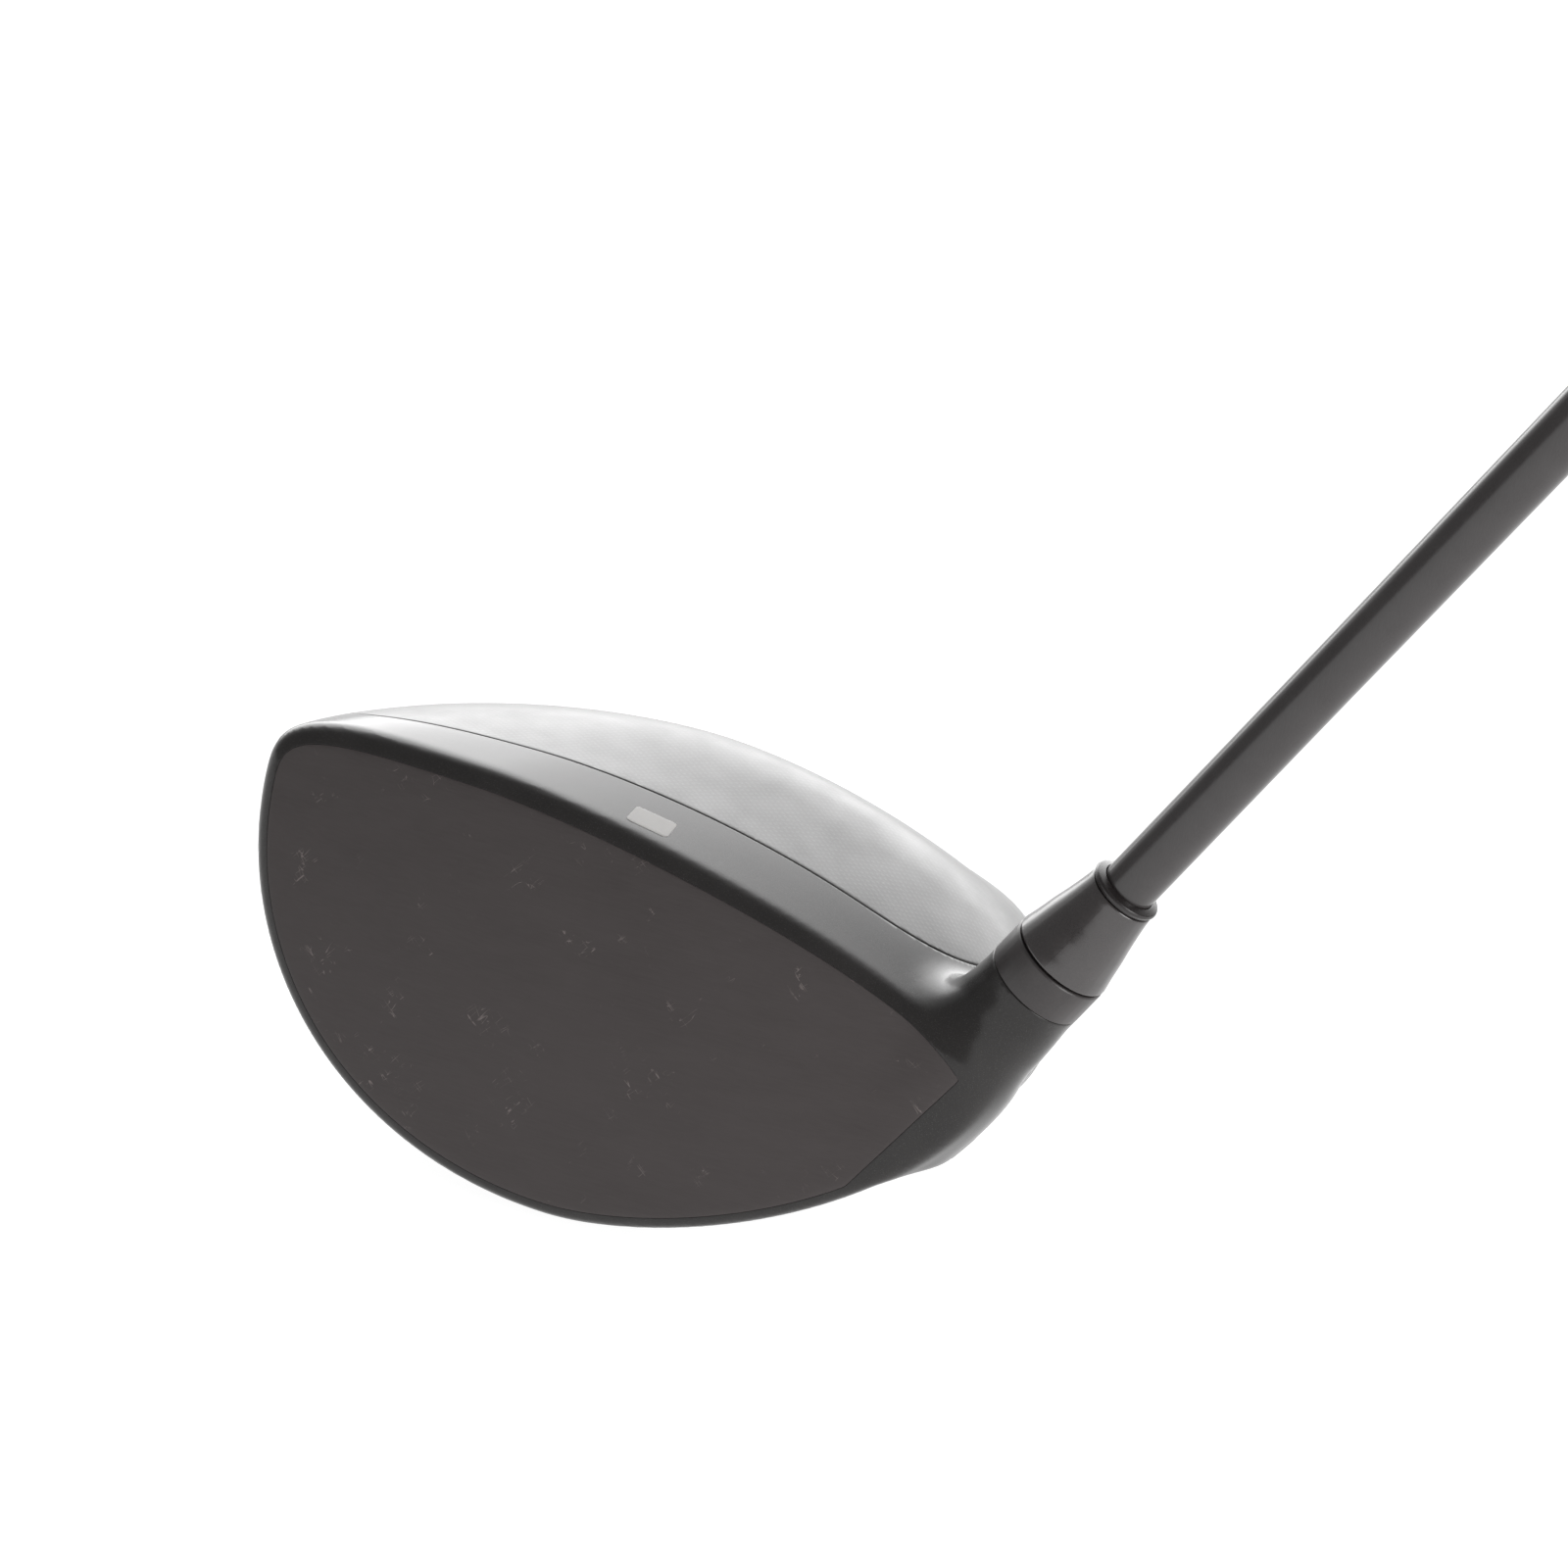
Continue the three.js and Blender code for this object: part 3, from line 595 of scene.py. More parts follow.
def add_piece(name, solids, finish, body, nodes=(), place=None, sharp=38):
    """One named object from one or more closed solids, riding on a CAD body."""
    mesh = bpy.data.meshes.new(name)
    points, faces, start = [], [], 0
    for solid_points, solid_faces in solids:
        points.append(np.asarray(solid_points) * MM)
        faces.extend([tuple(int(v) + start for v in face) for face in solid_faces])
        start += len(solid_points)
    mesh.from_pydata(np.concatenate(points).tolist(), [], faces)
    work = bmesh.new()
    work.from_mesh(mesh)
    bmesh.ops.remove_doubles(work, verts=work.verts, dist=2e-7)
    bmesh.ops.dissolve_degenerate(work, dist=1e-6, edges=work.edges)
    if place is not None:
        bmesh.ops.recalc_face_normals(work, faces=work.faces)
        work.transform(place)
    work.to_mesh(mesh)
    work.free()
    mesh.shade_smooth()
    mesh.set_sharp_from_angle(angle=math.radians(sharp))
    mesh.materials.append(finish)
    piece = bpy.data.objects.new(name, mesh)
    bpy.context.scene.collection.objects.link(piece)
    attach(piece, body)
    if nodes:
        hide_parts(*nodes)
    return piece


# ---------------------------------------------------------------- materials
def new_material(name):
    """A material with its shader, and a helper that adds nodes to it."""
    made = bpy.data.materials.new(name)
    made.use_nodes = True
    tree = made.node_tree
    shader = tree.nodes["Principled BSDF"]

    def add(kind, inputs=None, **settings):
        node = tree.nodes.new("ShaderNode" + kind)
        for key, value in settings.items():
            setattr(node, key, value)
        for key, value in (inputs or {}).items():
            if isinstance(value, bpy.types.NodeSocket):
                tree.links.new(value, node.inputs[key])
            else:
                node.inputs[key].default_value = value
        return node

    def link(socket, name):
        tree.links.new(socket, shader.inputs[name])

    return made, shader, add, link


def in_millimetres(add, scale=(1, 1, 1), turn=(0, 0, 0)):
    """Coordinates on the object in millimetres, turned and then scaled."""
    coordinates = add("TexCoord").outputs["Object"]
    turned_by = add("Mapping", {"Vector": coordinates, "Rotation": turn})
    return add(
        "Mapping",
        {"Vector": turned_by.outputs[0], "Scale": tuple(1000 * s for s in scale)},
    ).outputs[0]


def noise(add, where, size, detail=3.0, roughness=0.5):
    """Smooth noise whose blotches are about size millimetres across."""
    inputs = {"Vector": where, "Scale": 1 / size, "Detail": detail, "Roughness": roughness}
    return add("TexNoise", inputs).outputs[0]


def ramp(add, value, stops):
    """A smooth map from a value to a colour or grey."""
    node = add("ValToRGB", {"Fac": value})
    elements = node.color_ramp.elements
    while len(elements) < len(stops):
        elements.new(0.5)
    for element, (position, colour) in zip(elements, stops):
        element.position = position
        if isinstance(colour, (int, float)):
            colour = (colour,) * 3
        element.color = (*colour, 1)
    return node.outputs[0]


def mixed(add, share, first, second):
    node = add("Mix", {}, data_type="RGBA")
    for key, value in ((0, share), (6, first), (7, second)):
        if isinstance(value, bpy.types.NodeSocket):
            node.id_data.links.new(value, node.inputs[key])
        else:
            node.inputs[key].default_value = value if key == 0 else (*value, 1)
    return node.outputs[2]


def bumped(add, link, height, distance, strength=1.0):
    """Relief of a depth in millimetres."""
    node = add("Bump", {"Height": height, "Distance": distance * MM, "Strength": strength})
    link(node.outputs[0], "Normal")


def gloss_paint():
    made, shader, add, link = new_material("gloss_paint")
    where = in_millimetres(add)
    shade = ramp(add, noise(add, where, 9), [(0.3, (0.021, 0.0195, 0.019)), (0.7, (0.027, 0.025, 0.0245))])
    fleck = ramp(add, noise(add, where, 0.12, 1), [(0.62, 0), (0.74, 1)])
    link(mixed(add, fleck, shade, (0.06, 0.058, 0.056)), "Base Color")
    link(ramp(add, noise(add, where, 14), [(0.3, 0.17), (0.7, 0.23)]), "Roughness")
    shader.inputs["IOR"].default_value = 1.4
    bumped(add, link, noise(add, where, 1.6, 2), 0.004)
    return made


def face_finish():
    """Matte dark metal, brushed along the face, with the fine marks of play."""
    made, shader, add, link = new_material("face_finish")
    where = in_millimetres(add)
    brushed = in_millimetres(add, (0.12, 1, 1.6))
    cloud = noise(add, in_millimetres(add, (0.35, 1, 1.0)), 5, 5, 0.6)
    base = ramp(add, cloud, [(0.25, (0.045, 0.037, 0.0365)), (0.75, (0.058, 0.049, 0.0485))])
    grain = ramp(add, noise(add, brushed, 0.5, 3), [(0.35, 0), (0.75, 0.3)])
    base = mixed(add, grain, base, (0.064, 0.056, 0.055))
    scratch_a = noise(add, in_millimetres(add, (0.12, 1, 1.6), (0, 0.9, 0)), 1.5, 1)
    scratch_b = noise(add, in_millimetres(add, (0.1, 1, 1.4), (0, -0.7, 0)), 1.7, 1)
    thin = [ramp(add, s, [(0.49, 0), (0.5, 1), (0.51, 0)]) for s in (scratch_a, scratch_b)]
    lines = add("Math", {0: thin[0], 1: thin[1]}, operation="MAXIMUM").outputs[0]
    patches = ramp(add, noise(add, where, 7, 2), [(0.58, 0), (0.66, 1)])
    marks = add("Math", {0: lines, 1: patches}, operation="MULTIPLY").outputs[0]
    broken = ramp(add, noise(add, where, 1.6, 2), [(0.52, 0), (0.6, 0.5)])
    marks = add("Math", {0: marks, 1: broken}, operation="MULTIPLY").outputs[0]
    link(mixed(add, marks, base, (0.32, 0.27, 0.26)), "Base Color")
    link(ramp(add, cloud, [(0.2, 0.52), (0.8, 0.64)]), "Roughness")
    shader.inputs["Metallic"].default_value = 0.15
    bumped(add, link, noise(add, brushed, 0.35, 3), 0.012)
    return made


def crown_finish():
    """Satin lacquer over a fine twill that runs diagonally."""
    made, shader, add, link = new_material("crown_finish")
    where = in_millimetres(add)
    waves = []
    for turn in (0.7, -0.87):
        wave = {"Vector": in_millimetres(add, turn=(0, 0, turn)), "Scale": 0.32, "Distortion": 0.6}
        wave.update({"Detail": 1.0, "Detail Scale": 2.0})
        waves.append(add("TexWave", wave).outputs[0])
    weave = add("Math", {0: waves[0], 1: waves[1]}, operation="MULTIPLY").outputs[0]
    grain = noise(add, where, 0.35, 3)
    base = ramp(add, weave, [(0.1, (0.043, 0.042, 0.041)), (0.8, (0.056, 0.055, 0.054))])
    speck = ramp(add, grain, [(0.5, 0), (0.75, 0.5)])
    link(mixed(add, speck, base, (0.085, 0.084, 0.083)), "Base Color")
    link(ramp(add, noise(add, where, 6), [(0.3, 0.34), (0.7, 0.4)]), "Roughness")
    shader.inputs["IOR"].default_value = 1.75
    together = add("Math", {0: weave, 1: grain, 2: 0.6}, operation="MULTIPLY_ADD").outputs[0]
    bumped(add, link, together, 0.012)
    return made


def sole_finish():
    """Clear-coated carbon with a visible weave."""
    made, shader, add, link = new_material("sole_finish")
    checks = []
    for turn in (0.785, -0.785):
        wave = {"Vector": in_millimetres(add, turn=(0, 0, turn)), "Scale": 0.16}
        checks.append(add("TexWave", wave).outputs[0])
    weave = add("Math", {0: checks[0], 1: checks[1]}, operation="MULTIPLY").outputs[0]
    where = in_millimetres(add)
    base = ramp(add, weave, [(0.05, (0.012, 0.012, 0.012)), (0.75, (0.042, 0.041, 0.04))])
    link(base, "Base Color")
    link(ramp(add, noise(add, where, 8), [(0.3, 0.28), (0.7, 0.36)]), "Roughness")
    shader.inputs["Coat Weight"].default_value = 0.35
    shader.inputs["Coat Roughness"].default_value = 0.06
    bumped(add, link, weave, 0.01)
    return made


def satin_metal(name, dark, light, roughness, metallic=0.0, along=(1, 1, 1), relief=0.006, ior=1.5):
    """Smooth metal or lacquer with a fine directional grain."""
    made, shader, add, link = new_material(name)
    grain = noise(add, in_millimetres(add, along), 0.4, 3)
    cloud = noise(add, in_millimetres(add), 5, 3)
    base = ramp(add, cloud, [(0.3, dark), (0.7, light)])
    lift = ramp(add, grain, [(0.4, 0), (0.8, 0.4)])
    link(mixed(add, lift, base, tuple(min(1, 1.35 * c) for c in light)), "Base Color")
    link(ramp(add, grain, [(0.2, roughness - 0.05), (0.8, roughness + 0.05)]), "Roughness")
    shader.inputs["Metallic"].default_value = metallic
    shader.inputs["IOR"].default_value = ior
    bumped(add, link, grain, relief)
    return made


def rubber(name, dark, light, roughness, size=0.5, relief=0.05):
    made, shader, add, link = new_material(name)
    where = in_millimetres(add)
    fine = noise(add, where, size, 4)
    link(ramp(add, noise(add, where, 7), [(0.3, dark), (0.7, light)]), "Base Color")
    link(ramp(add, fine, [(0.2, roughness - 0.06), (0.8, roughness + 0.06)]), "Roughness")
    bumped(add, link, fine, relief)
    return made


gloss = gloss_paint()
face_metal = face_finish()
crown_carbon = crown_finish()
sole_carbon = sole_finish()
sleeve_metal = satin_metal(
    "sleeve_metal", (0.026, 0.022, 0.022), (0.034, 0.029, 0.029), 0.2, relief=0.001, ior=1.75
)
ring_metal = satin_metal("ring_metal", (0.032, 0.028, 0.028), (0.042, 0.037, 0.037), 0.34)
inner_metal = satin_metal("inner_metal", (0.18, 0.18, 0.185), (0.26, 0.26, 0.265), 0.38, 0.9)
bolt_steel = satin_metal("bolt_steel", (0.07, 0.07, 0.072), (0.1, 0.1, 0.103), 0.33, 0.9)
weight_steel = satin_metal("weight_steel", (0.3, 0.3, 0.305), (0.38, 0.38, 0.385), 0.3, 1.0, (1, 1, 4))
brass = satin_metal("plug_brass", (0.45, 0.33, 0.15), (0.52, 0.4, 0.2), 0.36, 1.0)
ferrule_plastic = rubber("ferrule_plastic", (0.017, 0.014, 0.014), (0.022, 0.019, 0.019), 0.28, 0.8, 0.006)
shaft_graphite = satin_metal(
    "shaft_graphite",
    (0.03, 0.026, 0.026),
    (0.037, 0.033, 0.033),
    0.15,
    along=(4, 4, 0.15),
    relief=0.0006,
    ior=1.6,
)
grip_rubber = rubber("grip_rubber", (0.018, 0.0175, 0.017), (0.026, 0.025, 0.025), 0.72)
gasket_rubber = rubber("gasket_rubber", (0.01, 0.01, 0.01), (0.016, 0.016, 0.016), 0.7, 0.3, 0.02)
tape = rubber("tape", (0.55, 0.51, 0.42), (0.62, 0.58, 0.49), 0.75, 0.3, 0.03)
compound = rubber("damping_compound", (0.4, 0.33, 0.18), (0.5, 0.42, 0.25), 0.5, 2, 0.2)
# Pale colour for the printed bar on the band and for the painted highlight bands on the heel's side.
pale_print_and_highlight = rubber("pale_print_and_highlight", (0.32, 0.31, 0.3), (0.37, 0.36, 0.35), 0.45, 0.5, 0.004)


# ---------------------------------------------------------------- the head's pieces
SEAM_HALF = 0.1
BEVEL = 0.2
FACE_SEAM = 0.015
FACE_BEVEL = 0.06
SHELL = 1.2
FACE_DEPTH = 3.0
HOSEL_SHELL = 0.5
LEDGE_HALF_WIDTH = 3.5
# A thin raised film, used for the printed bar and for the painted highlight bands on the heel.
PRINT_AND_HIGHLIGHT_FILM = {"thickness": 0.06, "raised": 0.05, "bevel": 0.02}
MARK_X = 0.0
MARK_Y = -18.0
MARK_HALF_SIZE = (3.4, 2.6)
# Pale bands on the heel's side, (low, high) in height and (back, front) along y: a painted highlight of
# light falling on the rear of the heel.
HEEL_HIGHLIGHT_BANDS = [((21.5, 25.5), (-17, -7)), ((26, 31), (3, 18))]


def make_head():
    points, faces, normals, field = skin_mesh()
    at = region_values(points)
    names = list(at)
    data = np.column_stack([points, normals] + [at[n] for n in names])
    column = {n: 6 + i for i, n in enumerate(names)}
    margin = SEAM_HALF + BEVEL

    def patch(values, thickness=SHELL, raised=0.0, bevel=BEVEL):
        kept, kept_faces = cut(data, faces, values)
        if callable(thickness):
            thickness = thickness(kept)
        if callable(bevel):
            bevel = bevel(kept)
        return plate(kept, kept_faces, thickness, raised, bevel)

    panels = [at[n] for n in ("face", "crown", "toe", "heel")]
    holes = at["holes"] - BEVEL
    flush = FACE_SEAM + FACE_BEVEL
    outside = np.minimum.reduce([-at["face"] - flush] + [-p - margin for p in panels[1:]] + [holes])

    def frame_depth(kept):
        return np.where(kept[:, column["height"]] > 52, HOSEL_SHELL, SHELL)

    def frame_bevel(kept):
        return np.where(kept[:, column["face"]] > -1, FACE_BEVEL, BEVEL)

    solids = [patch(outside, frame_depth, bevel=frame_bevel)]
    for values in panels:
        solids.append(patch(np.minimum(LEDGE_HALF_WIDTH - np.abs(values), holes), 0.8, -1.35, 0.1))
    solids.append(placed(hosel_solid(field), SHAFT_LINE))
    for seat in (REAR_SEAT, FRONT_SEAT):
        solids.append(placed(weight_cup(), axis_matrix(*seat)))
    add_piece("head_frame", solids, gloss, "head", ["body_frame"])
    insert = patch(at["face"] - flush, FACE_DEPTH, bevel=FACE_BEVEL)
    add_piece("face_insert", [insert], face_metal, "head", ["face_plate"])
    crown = patch(at["crown"] - margin)
    add_piece("crown_shell", [crown], crown_carbon, "head", ["crown_panel"])
    for side in ("toe", "heel"):
        shell = patch(np.minimum(at[side] - margin, holes))
        node = "sole_panel_" + side
        add_piece("sole_shell_" + side, [shell], sole_carbon, "head", [node])
    add_marks(points, patch)


def add_marks(points, patch):
    """The plain printed bar on the band, and pale bands on the heel's side that are a painted highlight of
    light falling on the rear of the heel.
    """
    x, y, z = points.T
    width, depth = MARK_HALF_SIZE
    mark = corner([width - np.abs(x - MARK_X), depth - np.abs(y - MARK_Y)], 0.6)
    bar = np.minimum(mark, np.where(z > 50, 9, -9))
    flank = np.where((x > 40) & (z < 50), 9, -9)
    highlight_bands = []
    # Painted highlight: pale bands where light falls on the heel's side.
    for (low, high), (back, front) in HEEL_HIGHLIGHT_BANDS:
        middle, half = (low + high) / 2, (high - low) / 2
        along = (front - back) / 2 - np.abs(y - (front + back) / 2)
        highlight_bands.append(np.minimum(corner([half - np.abs(z - middle), along], 0.8), flank))
    marks = [patch(values, **PRINT_AND_HIGHLIGHT_FILM) for values in [bar] + highlight_bands]
    add_piece("alignment_mark", marks[:1], pale_print_and_highlight, "head")
    # The heel's pale bands are a painted highlight, not print.
    add_piece("heel_painted_highlight", marks[1:], pale_print_and_highlight, "head")


def placed(solid, matrix):
    points, faces = solid
    turn = np.array(matrix.to_3x3())
    shift = np.array(matrix.translation) / MM
    return np.asarray(points) @ turn.T + shift, [tuple(f)[::-1] for f in faces]


def entry(field, angle, radius, depth):
    """How far up a line beside the shaft line is, where it is well inside the head's skin."""
    heights = np.arange(26, 2, -0.1)
    local = np.column_stack([np.full_like(heights, radius * math.cos(angle)),
                             np.full_like(heights, radius * math.sin(angle)), heights])
    inside = sample(field, placed((local, []), SHAFT_LINE)[0]) < -depth
    return heights[:-1][~inside[1:]][0] if (~inside).any() else heights[-1]


def hosel_solid(field):
    """The tube for the sleeve and bolt, with slots for the index ring's lugs at its top."""
    def profile(top):
        def at(angle):
            inner, outer = entry(field, angle, PORT_RADIUS, 0.5), entry(field, angle, 7.4, 1.0)
            return rounded([[PORT_RADIUS, inner], [7.4, outer], [7.4, 44], [7.85, 46], [7.85, top],
                            [BORE_RADIUS, top], [BORE_RADIUS, RIM - 2], [BORE_RADIUS, 31], [2.85, 31],
                            [2.85, 27], [PORT_RADIUS, 27], [PORT_RADIUS, inner]], 0.15)
        return at
    return toothed(profile(RIM - 0.02), profile(RIM - 1.5), 2.1, 7)


def weight_cup():
    return turned(rounded([[7, 0.7], [8.4, 0.9], [8.8, 10.9], [0, 10.9], [0, 10], [3.3, 10], [3.3, 4.5],
                           [7, 4.5], [7, 0.7]], 0.2), 96)


make_head()


# ---------------------------------------------------------------- weights
def star_radius(angle, radius):
    """A six-lobed recess's wall."""
    return radius * (0.88 + 0.12 * np.cos(6 * angle))


def make_weight(name, seat, body):
    angles = np.arange(96) * TURN / 96
    profiles = []
    for angle in angles:
        r = star_radius(angle, 2.6)
        profiles.append(rounded([[0, 2.7], [r, 2.7], [r, 0.55], [r + 0.25, 0.3], [6.3, 0.3], [6.7, 0.7],
                                 [6.7, 3.7], [3, 3.7], [3, 8.6], [2.5, 9], [0, 9]], 0.12))
    solid = lathe(np.array(profiles), angles)
    add_piece(name + "_screw", [solid], weight_steel, body, [name], axis_matrix(*seat))


make_weight("rear_weight", REAR_SEAT, "rear_weight")
make_weight("front_weight", FRONT_SEAT, "front_weight")


# ---------------------------------------------------------------- adapter
def make_bolt():
    angles = np.arange(96) * TURN / 96
    profiles = []
    for angle in angles:
        r = star_radius(angle, 2.8)
        profiles.append(rounded([[0, 23.7], [r, 23.7], [r, 20.8], [r + 0.25, 20.5], [4.1, 20.5], [4.6, 21],
                                 [4.6, 25.6], [2.5, 25.6], [2.5, 46.4], [1.9, 47], [0, 47]], 0.12))
    add_piece("bolt_screw", [lathe(np.array(profiles), angles)], bolt_steel, "sleeve_bolt",
              ["sleeve_bolt"], SHAFT_LINE)


def make_ring():
    def profile(inner, low):
        return rounded([[inner, SEAM - 0.6], [inner, SEAM], [7.9, SEAM], [HOSEL_RADIUS, SEAM - 0.25],
                        [HOSEL_RADIUS, RIM + 0.16], [8.05, foot], [7.6, foot], [7.6, low], [6.7, low],
                        [6.7, foot], [6.3, foot], [6.3, RIM + 1.2], [inner, RIM + 1.2],
                        [inner, SEAM - 0.6]], 0.1)
    foot = RIM + 0.06
    plain, lugs = profile(6.32, foot - 0.02), profile(6.32, RIM - 1.2)
    solid = toothed(plain, lugs, 1.5, 7.1)
    add_piece("index_collar", [solid], ring_metal, "index_ring", ["index_ring"], SHAFT_LINE)


def make_sleeve():
    def profile(rib):
        return rounded([[0, SLEEVE_LOW], [5.5, SLEEVE_LOW], [6, SLEEVE_LOW + 0.5], [6, RIM + 1.5],
                        [rib, RIM + 1.6], [rib, SEAM - 0.1], [6, SEAM], [6, SEAM + GAP], [7.85, SEAM + GAP],
                        [8.15, SEAM + GAP + 0.3], [7.62, 70.5], [7.1, 73.5], [6.5, 76.3], [6.1, 78.5],
                        [5.78, 80.5], [5.62, SLEEVE_HIGH - 0.15], [5.45, SLEEVE_HIGH],
                        [4.5, SLEEVE_HIGH], [4.5, 54], [0, 54]], 0.5)
    solid = toothed(profile(6.001), profile(6.2), 1.6, 6)
    add_piece("cone_sleeve", [solid], sleeve_metal, "shaft_assembly", ["adapter_sleeve"],
              SHAFT_LINE)


def make_ferrule():
    inner, low = TIP_RADIUS + 0.03, SLEEVE_HIGH + 0.1
    profile = rounded([[inner, low], [5.45, low], [5.8, low + 0.7], [5.65, FERRULE_HIGH - 0.35],
                       [inner + 0.15, FERRULE_HIGH], [inner, FERRULE_HIGH - 0.1], [inner, low]], 0.15, 4)
    add_piece("ferrule_ring", [turned(profile)], ferrule_plastic, "shaft_assembly", ["ferrule"],
              SHAFT_LINE)


def shaft_radius(height):
    taper = np.clip((height - SHAFT_PARALLEL) / (SHAFT_BUTT - SHAFT_PARALLEL), 0, 1)
    return TIP_RADIUS + (BUTT_RADIUS - TIP_RADIUS) * taper


def make_shaft():
    lower = np.linspace(SHAFT_TIP, SHAFT_PARALLEL, 12)
    upper = np.linspace(SHAFT_PARALLEL, SHAFT_BUTT, 60)[1:]
    heights = np.concatenate([lower, upper])
    outside = np.column_stack([shaft_radius(heights), heights])
    bore = np.where(heights > SHAFT_PARALLEL, shaft_radius(heights) - SHAFT_WALL, TIP_BORE)
    inside = np.column_stack([bore, heights])[::-1]
    profile = np.concatenate([outside, inside, outside[:1]])
    add_piece("shaft_tube", [turned(profile, 128)], shaft_graphite, "shaft_assembly", ["shaft"],
              SHAFT_LINE)


def grip_radius(height):
    heights = [GRIP_MOUTH, 882, 980, 1080, 1136, 1144, CLUB_LENGTH]
    return np.interp(height, heights, [8.9, 9.4, 10.6, 12, 13, 13.6, 13.6])


def make_grip():
    """A tapered rubber grip with rows of small dimples between plain bands."""
    columns = 120
    angles = np.arange(columns) * TURN / columns
    start, end = [GRIP_MOUTH, 880.6, 882], [1136, 1140, 1144, 1148.5]
    heights = np.concatenate([start, np.linspace(884, 1134, 420), end])
    base = grip_radius(heights)
    base[0] = 8.7
    row = (heights - 884) / 2.4
    profiles = []
    for angle in angles:
        wave = np.sin(TURN * row / 2) * math.sin(20 * angle)
        band = ((heights > 890) & (heights < 1126) & (np.mod(heights - 890, 59) < 48)).astype(float)
        radius = base - 0.35 * np.clip(wave * 1.6 - 0.2, 0, 1) * band
        outside = np.column_stack([radius, heights])
        rest = [[13.2, 1149.7], [12.4, CLUB_LENGTH], [1.2, CLUB_LENGTH], [1.2, SHAFT_BUTT + 1],
                [BUTT_RADIUS + 1, SHAFT_BUTT + 1], [shaft_radius(GRIP_MOUTH) + 1, GRIP_MOUTH],
                [8.7, GRIP_MOUTH]]
        profiles.append(np.concatenate([outside, rest]))
    add_piece("rubber_grip", [lathe(np.array(profiles), angles)], grip_rubber, "shaft_assembly", ["grip"],
              SHAFT_LINE)


make_bolt()
make_ring()
make_sleeve()
make_ferrule()
make_shaft()
make_grip()

for node, finish in {
    "damping_pad": compound,
    "bolt_washer": inner_metal,
    "bolt_clip": inner_metal,
    "rear_weight_gasket": gasket_rubber,
    "front_weight_gasket": gasket_rubber,
    "tip_plug": brass,
    "grip_tape": tape,
}.items():
    mesh = frame["nodes"][node].data
    mesh.materials.clear()
    mesh.materials.append(finish)


# ---------------------------------------------------------------- floor and light
FLOOR_HALF_SIZE = 6
FLOOR_DROP = 0.05
FLOOR_GLOW = 0.95
WHITE_TO_THE_EYE = 1.05
BACKLIGHT = (-0.35, 0.92, 0.22)
BACKLIGHT_STOPS = [(0.0, 0.22), (0.7, 0.3), (0.84, 0.8), (0.96, 4.5)]


def make_floor():
    """A pale lit floor, clear from underneath."""
    mesh = bpy.data.meshes.new("floor")
    half = FLOOR_HALF_SIZE
    corners = [(-half, -half, 0), (half, -half, 0), (half, half, 0), (-half, half, 0)]
    mesh.from_pydata(corners, [], [(0, 1, 2, 3)])
    made = bpy.data.materials.new("floor")
    made.use_nodes = True
    nodes, links = made.node_tree.nodes, made.node_tree.links
    shader = nodes["Principled BSDF"]
    shader.inputs["Base Color"].default_value = (0.25, 0.25, 0.25, 1)
    shader.inputs["Roughness"].default_value = 1
    shader.inputs["Specular IOR Level"].default_value = 0
    shader.inputs["Emission Color"].default_value = (1, 1, 1, 1)
    shader.inputs["Emission Strength"].default_value = FLOOR_GLOW
    clear = nodes.new("ShaderNodeBsdfTransparent")
    choose = nodes.new("ShaderNodeMixShader")
    links.new(nodes.new("ShaderNodeNewGeometry").outputs["Backfacing"], choose.inputs[0])
    links.new(shader.outputs[0], choose.inputs[1])
    links.new(clear.outputs[0], choose.inputs[2])
    links.new(choose.outputs[0], nodes["Material Output"].inputs[0])
    mesh.materials.append(made)
    floor = bpy.data.objects.new("floor", mesh)
    floor.location.z = -FLOOR_DROP * MM
    bpy.context.scene.collection.objects.link(floor)


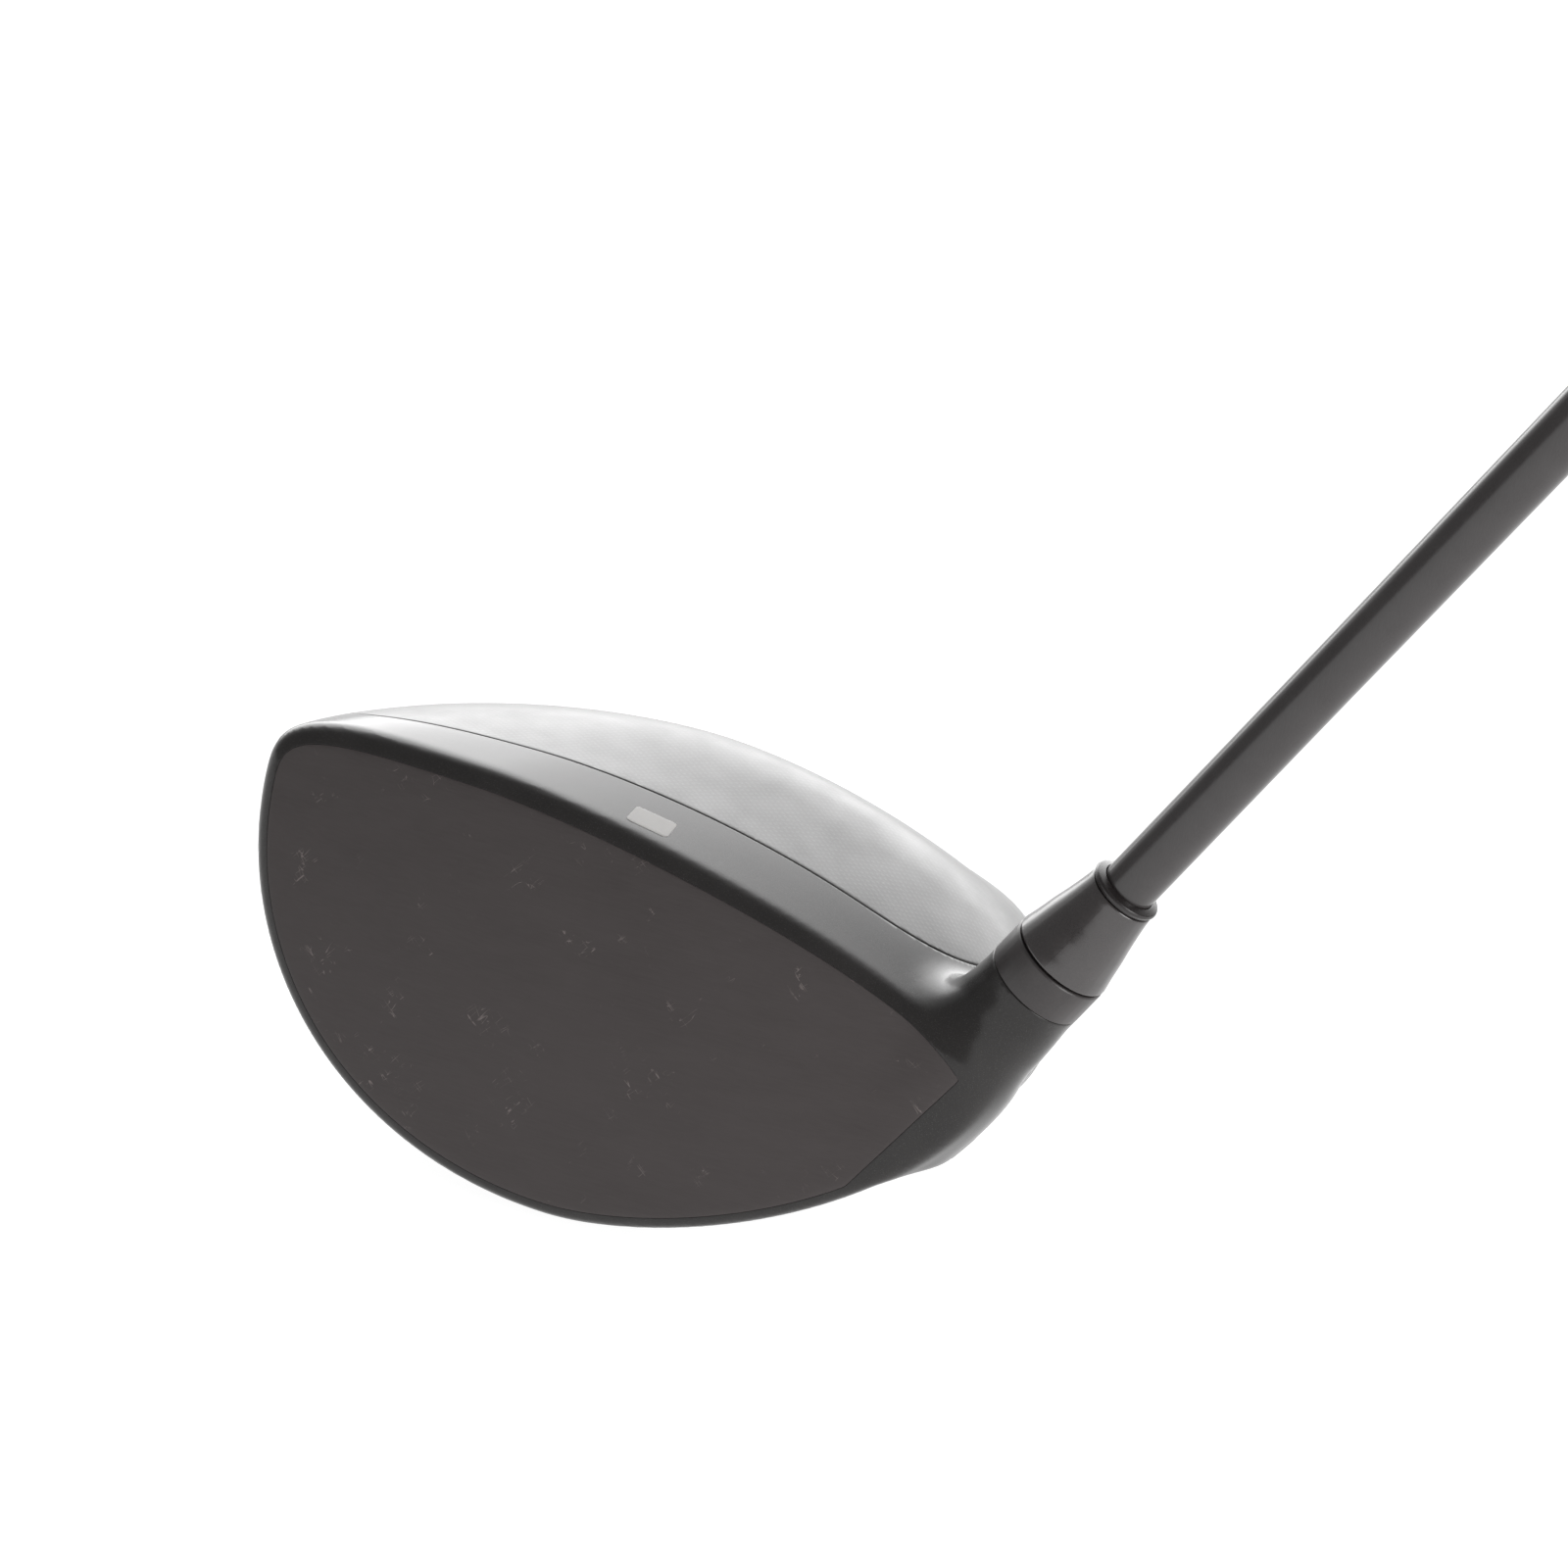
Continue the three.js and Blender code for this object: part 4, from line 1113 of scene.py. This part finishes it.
def make_world():
    """A white studio: bright behind the object and dim around the camera, and plain white to the eye."""
    world = bpy.data.worlds.new("studio")
    world.use_nodes = True
    nodes, links = world.node_tree.nodes, world.node_tree.links
    direction = nodes.new("ShaderNodeTexCoord").outputs["Generated"]
    towards = nodes.new("ShaderNodeVectorMath")
    towards.operation = "DOT_PRODUCT"
    links.new(direction, towards.inputs[0])
    towards.inputs[1].default_value = Vector(BACKLIGHT).normalized()
    spread = nodes.new("ShaderNodeMapRange")
    spread.inputs["From Min"].default_value = -1
    links.new(towards.outputs["Value"], spread.inputs["Value"])
    glow = nodes.new("ShaderNodeValToRGB")
    glow.color_ramp.interpolation = "EASE"
    elements = glow.color_ramp.elements
    while len(elements) < len(BACKLIGHT_STOPS):
        elements.new(0.5)
    for element, (position, level) in zip(elements, BACKLIGHT_STOPS):
        element.position = position
        element.color = (level, level, level, 1)
    links.new(spread.outputs[0], glow.inputs[0])
    lit = nodes["Background"]
    links.new(glow.outputs[0], lit.inputs[0])
    seen = nodes.new("ShaderNodeBackground")
    seen.inputs[1].default_value = WHITE_TO_THE_EYE
    seen.inputs[0].default_value = (1, 1, 1, 1)
    choose = nodes.new("ShaderNodeMixShader")
    links.new(nodes.new("ShaderNodeLightPath").outputs["Is Camera Ray"], choose.inputs[0])
    links.new(lit.outputs[0], choose.inputs[1])
    links.new(seen.outputs[0], choose.inputs[2])
    links.new(choose.outputs[0], nodes["World Output"].inputs[0])
    bpy.context.scene.world = world
    bpy.context.scene.view_settings.view_transform = "Standard"


def make_softbox(name, place, target, size, power):
    """A large soft light that stands away from the object."""
    light = bpy.data.lights.new(name, "AREA")
    light.size = size
    light.energy = power
    box = bpy.data.objects.new(name, light)
    aim = Vector(target) - Vector(place)
    box.matrix_world = Matrix.Translation(place) @ aim.to_track_quat("-Z", "Y").to_matrix().to_4x4()
    box.visible_camera = False
    bpy.context.scene.collection.objects.link(box)


make_floor()
make_world()
make_softbox("side_softbox", (1.1, -0.5, 0.35), (0.06, 0, 0.06), 0.7, 9)
